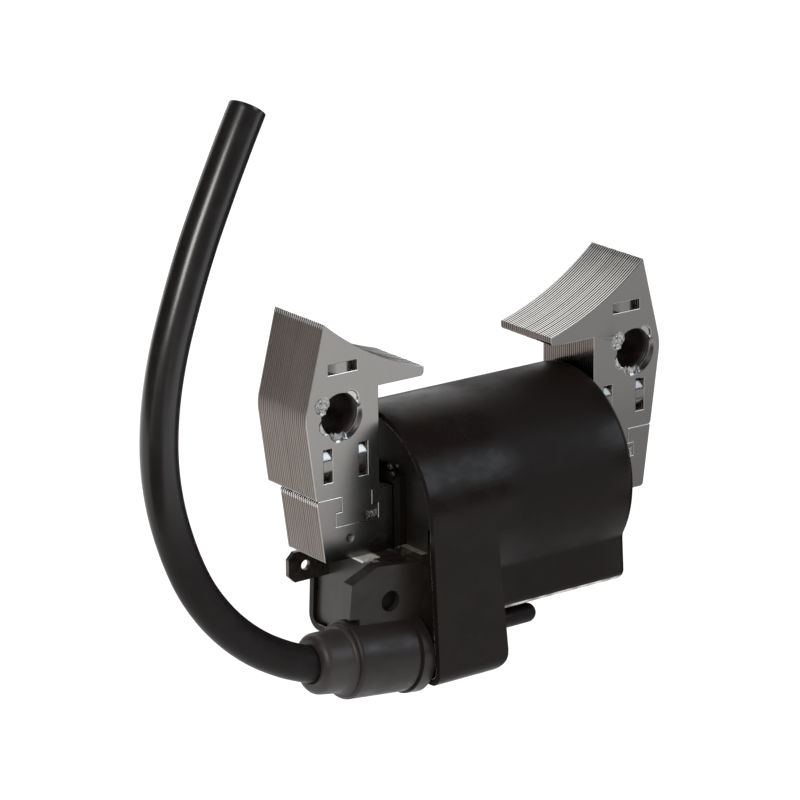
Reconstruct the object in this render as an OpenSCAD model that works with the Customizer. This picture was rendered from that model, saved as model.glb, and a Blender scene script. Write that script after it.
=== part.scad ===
// Ignition coil module for a small air-cooled engine, in millimetres.
// X runs along the core bar, Y through the stack of core sheets and Z towards the flywheel.
// The origin is midway between the two mounting holes, at half the depth of the legs.

/* [Core sheets] */
// Pitch of the core sheets, varnish included
sheet_t = 0.5; // [0.45:0.05:0.55]
// Varnish gap between two neighbouring sheets
varnish = 0.02; // [0.01:0.01:0.04]
// Number of sheets in each leg
leg_sheets = 25; // [23:1:28]
// Number of sheets in the bar between the legs
bar_sheets = 19; // [17:1:20]
// Height of the bar
bar_h = 9.85; // [9:0.05:10.5]
// How far the bar's top edge lies below the mounting holes
bar_drop = 12.5; // [12:0.1:14]
// Gap all round the dovetail that joins a leg to the bar
tail_gap = 0.05; // [0.03:0.01:0.1]
// Radius of the stamped dimples in the bar
dimple_r = 0.65; // [0.4:0.05:0.9]

/* [Core legs] */
// Mean gap between the case's ends and the inner edges of the legs
leg_gap = 1.2; // [1:0.1:3]
// Width of a leg at its foot, where it meets the bar
leg_foot_w = 11.25; // [10.8:0.05:12]
// Width of a leg at its widest, beside the mounting hole
leg_waist_w = 13.0; // [12.4:0.1:14]
// Radius of the flywheel face that the pole shoes follow
pole_r = 45.4; // [44:0.2:50]
// Height of the flywheel's centre above the mounting holes
pole_height = 48.45; // [48:0.05:53]
// Distance of each shoe's tip from the middle of the core
shoe_tip = 11.9; // [11:0.1:14]
// Height of the shoe's underside above the mounting holes
shoe_under = 3.25; // [2.6:0.05:3.4]
// Width of the pole face beyond the leg's inner edge
pole_w = 9.5; // [9:0.1:10.5]

/* [Mounting holes] */
// Mean distance of a mounting hole from its leg's inner edge
hole_in = 7.35; // [7:0.05:7.6]
// Diameter of a mounting hole
hole_d = 6.6; // [5.5:0.1:7]
// Sideways offset of the holes from the middle of the core
hole_offset = 0.5; // [0:0.1:1]

/* [Windings] */
// Clearance between the bar and the primary bobbin
bar_clear = 0.2; // [0.1:0.05:0.4]
// Least wall of the primary bobbin, at the corners of its square bore
bobbin_wall = 0.75; // [0.6:0.05:1]
// Build of the primary winding
primary_build = 1.5; // [1:0.1:2]
// Thickness of the insulating sleeve over the primary
sleeve_t = 0.2; // [0.1:0.05:0.3]
// Slip gap between parts that slide over each other
slip = 0.05; // [0.03:0.01:0.1]
// Wall of the secondary bobbin
secondary_wall = 0.9; // [0.7:0.1:1.2]
// Depth of the secondary winding chambers
chamber_depth = 3.4; // [3:0.1:4]
// Number of secondary winding chambers
chambers = 9; // [6:1:12]
// Thickness of a chamber's fin
fin_t = 0.9; // [0.6:0.1:1.2]
// Length of the secondary bobbin
secondary_len = 34; // [30:0.5:35]
// Thickness of the primary bobbin's end flanges
flange_t = 1.1; // [0.8:0.1:1.6]
// How far the primary bobbin's snout stands out of the potting
snout_len = 1.2; // [0.4:0.1:1.4]
// Wall of the snout
snout_wall = 1.5; // [1:0.1:1.8]

/* [Case] */
// Wall of the round part of the case
case_wall = 0.95; // [0.8:0.05:1.2]
// Potting left between the secondary bobbin and the case
potting_skin = 0.9; // [0.6:0.05:1.2]
// Room inside the rim, in front of the secondary bobbin
rim_room = 2.65; // [2.4:0.05:3]
// Thickness of the case's closed end
end_wall = 1.2; // [1:0.1:1.8]
// How far the case sits towards its closed end, off the middle between the legs
case_shift = 0.5; // [0:0.1:0.8]
// Clearance between the bar and its window in the closed end
window_clear = 0.3; // [0.1:0.1:0.6]
// Moulding draft of the flat walls, in degrees
draft = 3.5; // [1:0.5:5]
// How far the flat base cuts into the round part
base_cut = 0.45; // [0.2:0.05:1]
// Step from the round part's side in to the base's lower edge
base_inset = 1.9; // [1.6:0.1:2.6]
// Radius of the base's lower edges
base_round = 1.6; // [1:0.1:2]
// Radius of the hollow blend between the round part and the base
blend_r = 1.6; // [1:0.1:2]
// Length of the electronics pocket along the core, at the core's level
pocket_len = 11.5; // [11.5:0.5:16]
// How far the pocket hangs below the base
pocket_drop = 8; // [7.5:0.5:10]
// Wall of the pocket
pocket_wall = 1.1; // [0.9:0.1:1.4]
// Step from the round part's side in to the pocket's back wall
pocket_back = 0.65; // [0.3:0.05:1]
// Radius of the pocket's lower edge at its closed end
pocket_round = 3.3; // [2:0.1:4]
// Radius of the pocket's other lower edges
pocket_edge = 2.3; // [1.5:0.1:3]
// Radius of the locating peg on the pocket
peg_r = 1.5; // [1.2:0.1:1.8]
// Length of the locating peg
peg_len = 9.5; // [6:0.5:14]

/* [Potting] */
// How far the potting's flat face lies below the rim
potting_dip = 0.75; // [0.65:0.05:1]
// How far the face drops further around the bobbin's end
recess_dip = 1.9; // [1.6:0.1:2.2]
// How far the lower face's top edge lies above the middle of the bar
ledge_drop = -2.9; // [-3.5:0.1:-2]
// Depth of the slot between the lead holder and the front wall
slot_depth = 5; // [3:0.5:6]

/* [Lead holder] */
// Tilt of the lead holder out of the core's direction, in degrees
holder_tilt = 6; // [5:0.5:7]
// Distance of the holder's axis in front of the legs' middle
holder_y = 11.4; // [11:0.1:11.8]
// Distance of the holder's axis below the mounting holes
holder_drop = 36.75; // [36.5:0.05:37]
// Radius of the holder's tube
holder_r = 5.85; // [5.6:0.05:6]
// Radius of the holder's end flange
holder_flange_r = 6.2; // [6.1:0.05:6.5]
// Length of the holder's tube
holder_len = 13; // [11:0.5:14]
// Thickness of the holder's web
web_t = 2.2; // [1.8:0.1:2.6]
// Height of the web above the tube's axis
web_h = 14.2; // [13.6:0.1:14.4]
// Radius of the hole in the web
web_hole_r = 1.6; // [1.2:0.1:1.8]
// Length of the boot that stands out of the holder
boot_len = 5.3; // [4:0.1:8]
// Radius of the boot where it leaves the holder
boot_r = 4.75; // [4.5:0.05:5]
// Radius of the boot's rounded lip
lip_r = 1.3; // [0.8:0.1:1.4]
// Clearance between the lead and the boot
lead_clear = 0.05; // [0.03:0.01:0.1]

/* [Lead] */
// Diameter of the high tension lead
lead_d = 5.5; // [5.2:0.1:5.8]
// Thickness of the lead's jacket
jacket_t = 0.65; // [0.4:0.05:0.9]
// Radius of the lead's stranded conductor
conductor_r = 0.75; // [0.5:0.05:1]
// Gap between the lead's layers
layer_gap = 0.03; // [0.02:0.01:0.05]
// Radius of the contact spike in the end of the lead
spike_r = 0.55; // [0.4:0.05:0.6]

/* [Terminal and strap] */
// Width of the spade terminal
tab_w = 4.8; // [4.6:0.1:5]
// Thickness of the spade terminal
tab_t = 0.8; // [0.5:0.1:1]
// Length of the spade terminal outside the rim
tab_len = 6.6; // [6:0.1:9]
// Diameter of the hole in the spade terminal
tab_hole_d = 1.6; // [1.2:0.1:2]
// Distance of the spade terminal behind the legs' middle
tab_y = 11; // [10.5:0.1:12]
// Distance of the spade terminal below the mounting holes
tab_drop = 28.9; // [28:0.1:30]
// Thickness of the ground strap
strap_t = 0.4; // [0.3:0.05:0.5]
// Width of the ground strap
strap_w = 3.6; // [3:0.1:4]

/* [Electronics] */
// Length of the circuit board, through the stack
board_l = 21; // [20:0.5:22]
// Width of the circuit board, along the core
board_w = 9; // [8.6:0.1:9.2]
// Thickness of the circuit board
board_t = 1; // [0.8:0.1:1.2]

/* [Hidden] */
$fn = 72;
nudge = 0.5;                 // how far a cutting shape runs past what it cuts
bite = 0.01;                 // how far two joined shapes run into each other
steel = [0.62, 0.62, 0.6];
black = [0.07, 0.07, 0.075];
copper = [0.72, 0.4, 0.2];
tinned = [0.7, 0.69, 0.64];

// Core
leg_depth = leg_sheets * sheet_t;
bar_depth = bar_sheets * sheet_t;
front_y = -leg_depth / 2;
bar_y = front_y + bar_depth / 2;
bar_top = -bar_drop;
bar_z = bar_top - bar_h / 2;
case_len = secondary_len + rim_room + slip + end_wall;
leg_inner = case_len / 2 + leg_gap;
foot_x = leg_inner + leg_foot_w;
hole_pitch = 2 * (leg_inner + hole_in);
waist_z = 0.3;               // height of a leg's widest place, and its rounding
waist_round = 7;
bar_end_slant = 1.35;        // each end of the bar leans in by this much
tail_neck = [1.45, 6.75];    // sides of a leg's dovetail neck, from the leg's inner edge
tail_foot = [0.3, 7.85];     // sides of its foot
tail_neck_h = 2.35;
tail_foot_h = 2.15;
nose_r = 0.65;               // rounding of a shoe's tip
foot_round = 0.5;
bar_round = [0.3, 0.6];      // the bar's upper and lower corners
lock_w = 1.6;                // the three stamped locking slots in each leg
lock_l = 5.15;
lock_top = [6.3, 7.1];       // middle of the level slot, from the leg's inner edge
lock_low_z = -7.4;
lock_low_x = [2.8, 9.1];
dimple_inset = 5.35;         // a dimple's place, from the leg's inner edge and the bar's middle
dimple_z = -1.75;

// Windings, from the bar outwards
bore_y = bar_depth + 2 * bar_clear;
bore_z = bar_h + 2 * bar_clear;
bobbin_r = norm([bore_y, bore_z]) / 2 + bobbin_wall;
primary_r = bobbin_r + slip + primary_build;
sleeve_r = primary_r + slip + sleeve_t;
secondary_bore = sleeve_r + slip;
secondary_r = secondary_bore + secondary_wall;
fin_r = secondary_r + chamber_depth;
case_bore = fin_r + potting_skin;
case_r = case_bore + case_wall;

// Case
rim_x = case_shift - case_len / 2;
end_x = case_shift + case_len / 2;
end_inner_x = end_x - end_wall;
base_half = case_r - base_inset;
base_z = case_r - base_cut;
pocket_z = base_z + pocket_drop;
peg_y = -holder_y;
peg_z = -(holder_drop - 1.05);

// Ends of the windings
secondary_x1 = end_inner_x - slip;
secondary_x0 = secondary_x1 - secondary_len;
recess_x = rim_x + recess_dip;
face_x = rim_x + potting_dip;
chamber_pitch = (secondary_len - fin_t) / chambers;
wire_r = 0.3;                // the primary's two ends
primary_wire_x = secondary_x0 + flange_t / 2;
wire_pitch = 3;              // their distance from each other, and from the bar's middle
primary_wire_y = [bar_y + wire_pitch, bar_y + 2 * wire_pitch];
link_r = 0.4;                // the secondary's high tension end

// Lead holder, measured along its own axis from its flange
holder_x = rim_x - slip;
holder_z = -holder_drop;
flange_len = 2;
groove_len = 0.5;
groove_depth = 0.25;
shoulder_r = 0.8;
boss_len = 6.6;              // the thick part of the web, beside the case
boss_t = 3.9;
web_front = 1.8;
web_hole = [8.7, 5.8];       // height above the axis, and distance along it
lead_r = lead_d / 2;
lead_bore = lead_r + lead_clear;
lead_start = 0.8;
socket_start = 3;
socket_wall = 2;
root_r = 2.6;
root_len = 2.4;
exit_s = holder_len + boot_len;
web_chamfer = [2.4, 4.4];    // the web's upper outer corner
web_notch = [5.6, 11.1];     // height of the notch over the tube, and where it starts
boss_rim = 1;                // walls round the shallow recess in the boss's top
boss_recess = 0.5;
spike_head_r = 1.6;
spike_head_t = 1.4;
spike_len = 4.5;             // how far the spike runs past the flange, without its point
spike_point = 1.5;
boot_flare = 0.7;            // the boot widens by this much where it meets the holder
boot_taper = 0.2;

// Lead layers
jacket_bore = lead_r - jacket_t;
insulation_r = jacket_bore - layer_gap;
conductor_bore = conductor_r + 2 * layer_gap;

// Circuit board, in the pocket
board_x = rim_x + pocket_len / 2;
board_y = 2.3;
board_z = bar_z - pocket_z + pocket_wall + 2.4;
board_top = board_z + board_t;
transistor = [7.4, 8, 2.6];  // each part's size, and its middle's place on the board
transistor_at = [0.6, -6];
chip = [3.8, 5, 1.5];
chip_gap = 0.35;             // from the primary's wires to the chip
chip_at = [primary_wire_x + wire_r + chip_gap + chip[0] / 2 - board_x, 1.6];
diode_r = 1.2;
diode_len = 4.6;
diode_at = [chip_at[0] + chip[0] / 2 + slip + diode_r, -0.6];  // its end's place
resistor = [1.6, 0.9, 0.5];
resistor_at = [-1.6, 5];
resistor_pitch = [2.1, 2];
capacitor = [1.2, 1.2, 0.9];
capacitor_at = [3.4, 5];
capacitor_pitch = 1.9;

// Terminal and strap
tab_z = -tab_drop;
tab_clip = 1.1;              // the spade's clipped corners
tab_hole_inset = 3.1;
tab_root = 0.8;              // how far the full width runs into the potting
tab_leg_w = 2;               // the leg that turns down to the board
tab_leg_at = 3;              // its distance from the board's middle
tab_leg_x = board_x - tab_leg_at;
tab_play = 0.1;              // clearance round the leg in the board's slot
tab_foot = 0.6;              // how far the leg stands out under the board
strap_reach = 6.2;           // length of the strap's end outside the rim
strap_front = 1.9;           // how far the strap stands out in front of the bar
strap_gap = 0.8;             // how far outside the rim the strap turns down
strap_step = 3;
strap_leg_at = 4.1;
strap_leg_x = board_x - strap_leg_at;

// A point on the holder's axis, a distance s out of the flange
function on_axis(s) = [holder_x - s * cos(holder_tilt), -holder_y,
                       holder_z + s * sin(holder_tilt)];

// The lead's centreline: its stretch inside the holder, then its free curve
lead_points = [
    on_axis(lead_start), on_axis(exit_s / 2), on_axis(exit_s),
    [-41.0, -11.4, -33.0], [-45.5, -11.2, -30.4], [-49.5, -11.0, -27.1],
    [-53.0, -10.8, -23.1], [-55.8, -10.5, -18.5], [-58.0, -10.1, -12.8],
    [-59.5, -9.6, -6.4], [-59.9, -9.0, 0.2], [-59.1, -8.3, 7.1], [-57.2, -7.5, 14.1],
    [-54.3, -6.6, 21.2], [-50.6, -5.5, 28.7], [-46.5, -4.4, 35.8], [-42.6, -3.3, 42.0],
    [-39.5, -2.4, 46.6]];
lead_sides = 12;

// ---- Outlines -------------------------------------------------------------

// Points of the arc that rounds the corner b, between a and c, to radius r
function fillet(a, b, c, r, n = 6) =
    let (u = (a - b) / norm(a - b), v = (c - b) / norm(c - b),
         half = acos(u * v) / 2,
         o = b + (u + v) / norm(u + v) * r / sin(half),
         p = b + u * r / tan(half) - o, q = b + v * r / tan(half) - o,
         a0 = atan2(p[1], p[0]),
         sweep = (atan2(q[1], q[0]) - a0 + 540) % 360 - 180)
    [for (i = [0:n]) o + r * [cos(a0 + sweep * i / n), sin(a0 + sweep * i / n)]];

// An outline whose corners are given as [x, y, radius]
function rounded(pts) =
    let (n = len(pts), at = [for (p = pts) [p[0], p[1]]])
    [for (i = [0:n - 1]) each pts[i][2] > 0
        ? fillet(at[(i + n - 1) % n], at[i], at[(i + 1) % n], pts[i][2]) : [at[i]]];

// Moves the core's own frame so that the mounting holes are centred on the origin
module place() translate([-hole_offset, 0, 0]) children();

// Extrudes an X-Z outline through the stack, from y0 back
module upright(y0, t) translate([0, y0 + t, 0]) rotate([90, 0, 0]) linear_extrude(t) children();

// Extrudes a Y-Z outline along the core, from x0 to x1, around the bar's axis
module endwise(x0, x1)
    translate([x0, bar_y, bar_z]) rotate([90, 0, 90]) linear_extrude(x1 - x0) children();

// A round rod along the core, around the bar's axis
module rod(x0, x1, r) endwise(x0, x1) circle(r);

// ---- Core -----------------------------------------------------------------

// One leg sheet without its cuts, for the side where x is positive
module leg_blank() {
    pole_x = leg_inner + pole_w;
    pole_z = pole_height - sqrt(pow(pole_r, 2) - pow(pole_x, 2));
    polygon(rounded([
        [leg_inner, bar_top, 0], [leg_inner, shoe_under, 0],
        [shoe_tip, shoe_under, nose_r], [shoe_tip, pole_z, 0],
        [pole_x, pole_z, 0],
        [leg_inner + leg_waist_w, waist_z, waist_round], [foot_x, bar_top, foot_round]]));
}

// The dovetail that hangs from a leg, grown by a gap for its seat in the bar
module tail(grow) translate([leg_inner, bar_top]) {
    neck_w = tail_neck[1] - tail_neck[0];
    foot_w = tail_foot[1] - tail_foot[0];
    translate([tail_neck[0] - grow, -tail_neck_h - nudge])
        square([neck_w + 2 * grow, tail_neck_h + nudge + (grow > 0 ? nudge : bite)]);
    translate([tail_foot[0] - grow, -tail_neck_h - tail_foot_h - grow])
        square([foot_w + 2 * grow, tail_foot_h + 2 * grow]);
}

// A locking slot, its length along x
module lock_slot(at, turn = 0)
    translate(at) rotate(turn) square([lock_l, lock_w], center = true);

// One finished leg sheet; hole_x is its mounting hole's distance from the core's middle
module leg_sheet(hole_x, tailed) difference() {
    union() {
        leg_blank();
        if (tailed) tail(0);
    }
    translate([0, pole_height]) circle(pole_r, $fn = 180);
    translate([hole_x, 0]) circle(d = hole_d);
    lock_slot([leg_inner + lock_top[0], lock_top[1]]);
    for (x = lock_low_x) lock_slot([leg_inner + x, lock_low_z], 90);
}

// A leg's stack of sheets; only the sheets level with the bar have tails
module leg_stack(hole_x)
    for (i = [0:leg_sheets - 1])
        upright(front_y + i * sheet_t + varnish / 2, sheet_t - varnish)
            leg_sheet(hole_x, i < bar_sheets);

module left_leg_laminations() color(steel) place()
    mirror([1, 0, 0]) leg_stack(hole_pitch / 2 - hole_offset);

module right_leg_laminations() color(steel) place()
    leg_stack(hole_pitch / 2 + hole_offset);

// One bar sheet, with a seat at each end for a leg's dovetail
module bar_sheet() difference() {
    top_x = foot_x - tail_gap;
    polygon(rounded([
        [-top_x, bar_top - tail_gap, bar_round[0]],
        [top_x, bar_top - tail_gap, bar_round[0]],
        [top_x - bar_end_slant, bar_top - bar_h, bar_round[1]],
        [bar_end_slant - top_x, bar_top - bar_h, bar_round[1]]]));
    for (side = [0, 1]) mirror([side, 0]) {
        tail(tail_gap);
        translate([leg_inner + dimple_inset, bar_z + dimple_z]) circle(dimple_r, $fn = 24);
    }
}

module core_bar_laminations() color(steel * 0.95) place()
    for (i = [0:bar_sheets - 1])
        upright(front_y + i * sheet_t + varnish / 2, sheet_t - varnish) bar_sheet();

// ---- Case -----------------------------------------------------------------

// Fills the hollow corner between the round part and the base's leaning side
module waist_blend(inset) {
    r = case_r - inset;
    f = blend_r + inset;
    side = base_half * cos(draft) - base_z * sin(draft) - inset;
    t = draft - acos((side + f) / (r + f));
    o = (r + f) * [cos(t), sin(t)];
    on_round = o * r / (r + f);
    on_side = o - f * [cos(draft), sin(draft)];
    difference() {
        polygon([o, o + (on_round - o) * 1.5, o + (on_side - o) * 1.5]);
        translate(o) circle(f);
    }
}

// The case's end view along its whole length, shrunk by an inset
module body_outline(inset) {
    top_half = base_half - base_z * tan(draft);
    difference() {
        circle(case_r - inset);
        translate([-case_r, inset - base_z - case_r]) square([2 * case_r, case_r]);
    }
    polygon(rounded([
        [top_half - inset, 0, 0], [inset - top_half, 0, 0],
        [inset - base_half, inset - base_z, max(base_round - inset, 0.3)],
        [base_half - inset, inset - base_z, max(base_round - inset, 0.3)]]));
    for (side = [0, 1]) mirror([side, 0]) waist_blend(inset);
}

// The electronics pocket, shrunk by an inset, from x0 to its closed end
module pocket_block(inset, x0) {
    depth = pocket_z - inset;
    spread = pocket_z * tan(draft);
    front = case_r - inset;
    back = case_r - pocket_back - inset;
    side = rim_x + pocket_len - inset;
    edge = max(pocket_edge - inset, 0.3);
    intersection() {
        endwise(x0, side + spread + nudge) polygon(rounded([
            [-front, 0, 0], [-front - spread, -depth, edge],
            [back + spread, -depth, edge], [back, 0, 0]]));
        upright(bar_y - 2 * case_r, 4 * case_r) polygon(rounded([
            [x0, bar_z + nudge, 0], [side, bar_z + nudge, 0],
            [side + spread, bar_z - depth, max(pocket_round - inset, 0.3)],
            [x0, bar_z - depth, 0]]));
    }
}

// The case's inside, open at the rim
module case_cavity(gap, x0) {
    endwise(x0, end_inner_x - gap) body_outline(case_wall + gap);
    pocket_block(pocket_wall + gap, x0);
}

// A peg with a round end, moulded on the pocket's closed side
module locating_peg() {
    root_x = rim_x + pocket_len - pocket_wall / 2;
    translate([root_x, peg_y, peg_z]) rotate([0, 90, 0]) {
        cylinder(r = peg_r, h = peg_len + pocket_wall);
        translate([0, 0, peg_len + pocket_wall]) sphere(peg_r, $fn = 32);
    }
}

module coil_case() color(black) place() difference() {
    union() {
        endwise(rim_x, end_x) body_outline(0);
        pocket_block(0, rim_x);
        locating_peg();
    }
    case_cavity(0, rim_x - nudge);
    endwise(end_inner_x - nudge, end_x + nudge)
        square([bar_depth + 2 * window_clear, bar_h + 2 * window_clear], center = true);
}

// ---- Windings -------------------------------------------------------------

module square_bore(x0, x1) endwise(x0, x1) square([bore_y, bore_z], center = true);

module snout(x0, x1, grow = 0) endwise(x0, x1)
    square([bore_y + 2 * snout_wall + grow, bore_z + 2 * snout_wall + grow], center = true);

module primary_bobbin() color([0.1, 0.1, 0.09]) place() difference() {
    union() {
        rod(secondary_x0, secondary_x1, bobbin_r);
        for (x = [secondary_x0, secondary_x1 - flange_t])
            rod(x, x + flange_t, primary_r);
        snout(recess_x - snout_len, secondary_x0 + bite);
    }
    square_bore(recess_x - snout_len - nudge, end_inner_x + nudge);
}

module primary_winding() color(copper) place() difference() {
    rod(secondary_x0 + flange_t + slip, secondary_x1 - flange_t - slip, primary_r);
    rod(secondary_x0, secondary_x1, bobbin_r + slip);
}

module insulating_sleeve() color([0.85, 0.75, 0.5]) place() difference() {
    rod(secondary_x0, secondary_x1, sleeve_r);
    rod(secondary_x0 - nudge, secondary_x1 + nudge, primary_r + slip);
}

module secondary_bobbin() color([0.13, 0.13, 0.12]) place() difference() {
    union() {
        rod(secondary_x0, secondary_x1, secondary_r);
        for (i = [0:chambers])
            rod(secondary_x0 + i * chamber_pitch, secondary_x0 + i * chamber_pitch + fin_t, fin_r);
    }
    rod(secondary_x0 - nudge, secondary_x1 + nudge, secondary_bore);
}

// One ring of fine wire in each chamber
module secondary_winding() color(copper * 0.8) place()
    for (i = [0:chambers - 1]) {
        x = secondary_x0 + i * chamber_pitch + fin_t;
        difference() {
            rod(x + slip, x + chamber_pitch - fin_t - slip, fin_r - slip);
            rod(x, x + chamber_pitch, secondary_r + slip);
        }
    }

// Height of the underside of the windings over a wire of radius r
function under_windings(y, r) =
    bar_z - sqrt(pow(fin_r, 2) - pow(max(abs(y - bar_y) - r, 0), 2)) - slip;

// The primary's two ends, down through the potting to the board
module primary_wires(grow = 0)
    for (y = primary_wire_y)
        translate([primary_wire_x, y, board_top])
            cylinder(r = wire_r + grow, h = under_windings(y, wire_r) - board_top, $fn = 24);

module primary_lead_wires() color(copper) place() primary_wires();

// The secondary's high tension end, down to the head of the contact spike
module link_wire(grow = 0) {
    head = on_axis(link_r + slip - root_len - spike_head_t);
    foot = head[2] + spike_head_r + slip;
    translate([head[0], head[1], foot])
        cylinder(r = link_r + grow, h = under_windings(head[1], link_r) - foot, $fn = 24);
}

module high_tension_link() color(copper) place() link_wire();

// ---- Electronics ----------------------------------------------------------

// A box on the board, given by its middle's place there and its size
module on_board(at, size)
    translate([board_x + at[0] - size[0] / 2, board_y + at[1] - size[1] / 2,
               board_top + slip])
        cube(size);

module board_solid() difference() {
    translate([board_x - board_w / 2, board_y - board_l / 2, board_z])
        cube([board_w, board_l, board_t]);
    translate([tab_leg_x - tab_leg_w / 2 - tab_play, tab_y - tab_t / 2 - tab_play,
               board_z - nudge])
        cube([tab_leg_w + 2 * tab_play, tab_t + 2 * tab_play, board_t + 2 * nudge]);
}

module transistor_solid() on_board(transistor_at, transistor);
module chip_solid() on_board(chip_at, chip);
module diode_solid()
    translate([board_x + diode_at[0], board_y + diode_at[1], board_top + slip + diode_r])
        rotate([-90, 0, 0]) cylinder(r = diode_r, h = diode_len, $fn = 32);
module resistor_solids()
    for (col = [0, 1], row = [0, 1])
        on_board(resistor_at + [resistor_pitch[0] * col, resistor_pitch[1] * row], resistor);
module capacitor_solids()
    for (row = [0:2]) on_board(capacitor_at + [0, capacitor_pitch * row], capacitor);

module circuit_board() color([0.1, 0.35, 0.2]) place() board_solid();
module power_transistor() color(black) place() transistor_solid();
module control_chip() color(black * 1.5) place() chip_solid();
module chip_resistors() color([0.15, 0.15, 0.16]) place() resistor_solids();
module chip_capacitors() color([0.7, 0.55, 0.35]) place() capacitor_solids();
module protection_diode() color([0.2, 0.2, 0.2]) place() diode_solid();

// ---- Terminal and strap ---------------------------------------------------

// A spade with clipped corners, then a leg that turns down to the board
module spade_outline() {
    tip_x = rim_x - tab_len;
    root_x = face_x + tab_root;
    clip = tab_clip;
    half = tab_w / 2;
    leg = tab_leg_w / 2;
    difference() {
        union() {
            polygon([
                [tip_x, tab_z - half + clip], [tip_x + clip, tab_z - half],
                [root_x, tab_z - half], [root_x, tab_z + half],
                [tip_x + clip, tab_z + half], [tip_x, tab_z + half - clip]]);
            translate([root_x - bite, tab_z - leg])
                square([tab_leg_x + leg - root_x, tab_leg_w]);
            translate([tab_leg_x - leg, board_z - tab_foot])
                square([tab_leg_w, tab_z - board_z + tab_foot]);
        }
        translate([tip_x + tab_hole_inset, tab_z]) circle(d = tab_hole_d, $fn = 32);
    }
}

module spade() upright(tab_y - tab_t / 2, tab_t) spade_outline();

module kill_terminal() color(tinned * 0.8) place() spade();

// A strip that lies under the bar, steps down the potting's face and ends on the board
module strap() {
    top = bar_z - bar_h / 2 - slip;
    out_x = rim_x - strap_reach;
    drop_x = rim_x - strap_gap;
    step_z = top - strap_step;
    upright(front_y - strap_front, strap_w) polygon([
        [out_x, top], [drop_x + strap_t, top], [drop_x + strap_t, step_z],
        [strap_leg_x + strap_t, step_z], [strap_leg_x + strap_t, board_top + slip],
        [strap_leg_x, board_top + slip], [strap_leg_x, step_z - strap_t],
        [drop_x, step_z - strap_t], [drop_x, top - strap_t], [out_x, top - strap_t]]);
}

module ground_strap() color(tinned) place() strap();

// ---- Lead holder and boot -------------------------------------------------

// Turns a shape so that Z runs out along the holder's axis and X points up
module on_holder() translate([holder_x, -holder_y, holder_z])
    rotate([0, holder_tilt - 90, 0]) children();

// Extrudes an outline of [height, distance along the axis] through the web
module web_slice(front, t) rotate([90, 0, 0]) translate([0, 0, front - t])
    linear_extrude(t) children();

module web() {
    web_slice(web_front, web_t) difference() {
        polygon([[0, 0], [web_h, 0], [web_h, holder_len - web_chamfer[1]],
                 [web_h - web_chamfer[0], holder_len], [0, holder_len]]);
        translate(web_notch) square([1, holder_len]);
    }
    web_slice(web_front, boss_t) square([web_h, boss_len]);
}

// The tube without its bore: a groove behind the flange, a rounded shoulder at the far end
module holder_tube() {
    groove_end = flange_len + groove_len;
    shoulder_s = holder_len - shoulder_r;
    cylinder(r = holder_r - groove_depth, h = groove_end);
    translate([0, 0, groove_end]) cylinder(r = holder_r, h = shoulder_s - groove_end);
    translate([0, 0, shoulder_s]) rotate_extrude() {
        square([holder_r - shoulder_r, shoulder_r]);
        intersection() {
            translate([holder_r - shoulder_r, 0]) circle(shoulder_r, $fn = 32);
            square([holder_r, shoulder_r]);
        }
    }
    translate([0, 0, -root_len]) cylinder(r = root_r, h = root_len + bite);
}

// The flange, which stands against the rim
module holder_flange() difference() {
    on_holder() cylinder(r = holder_flange_r, h = flange_len);
    translate([rim_x - slip, -2 * case_r, holder_z - case_r])
        cube([case_r, 4 * case_r, 2 * case_r]);
}

module holder_solid() difference() {
    union() {
        holder_flange();
        on_holder() holder_tube();
        on_holder() web();
    }
    on_holder() {
        translate([0, 0, lead_start - slip]) cylinder(r = lead_bore, h = holder_len);
        translate([0, 0, socket_start]) cylinder(r = holder_r - socket_wall, h = holder_len);
        translate([0, 0, -root_len - nudge])
            cylinder(r = spike_r + slip, h = root_len + nudge + lead_start);
        translate([web_hole[0], 0, web_hole[1]]) rotate([90, 0, 0])
            cylinder(r = web_hole_r, h = 4 * boss_t, center = true, $fn = 48);
        translate([web_h - boss_recess, boss_rim - web_front, 1.4 * boss_rim])
            cube([1, boss_t - 2 * boss_rim, boss_len - 2.6 * boss_rim]);
    }
}

module lead_holder() color([0.1, 0.1, 0.1]) place() holder_solid();

// The boot: a spigot in the holder's socket, then a neck with a rounded lip
module lead_boot() color([0.08, 0.08, 0.08]) place() on_holder() rotate_extrude() {
    spigot_r = holder_r - socket_wall - slip;
    neck_end_r = boot_r - boot_taper;
    start = holder_len + slip;
    polygon(concat(
        [[lead_bore, socket_start + slip], [spigot_r, socket_start + slip],
         [spigot_r, start]],
        [for (a = [0:15:90]) [boot_r + boot_flare * (1 - sin(a)),
                              start + boot_flare * (1 - cos(a))]],
        [for (a = [0:15:75]) [neck_end_r - lip_r * (1 - cos(a)),
                              exit_s - lip_r * (1 - sin(a))]],
        [[lead_bore + 2 * slip, exit_s], [lead_bore, exit_s - 2 * slip]]));
}

module contact_spike() color([0.75, 0.62, 0.3]) place() on_holder() {
    translate([0, 0, -root_len - spike_head_t - slip])
        cylinder(r = spike_head_r, h = spike_head_t, $fn = 48);
    translate([0, 0, -root_len - slip - bite])
        cylinder(r = spike_r, h = root_len + spike_len, $fn = 32);
    translate([0, 0, spike_len - slip - 2 * bite])
        cylinder(r1 = spike_r, r2 = 0.1, h = spike_point, $fn = 32);
}

// ---- Potting --------------------------------------------------------------

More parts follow.
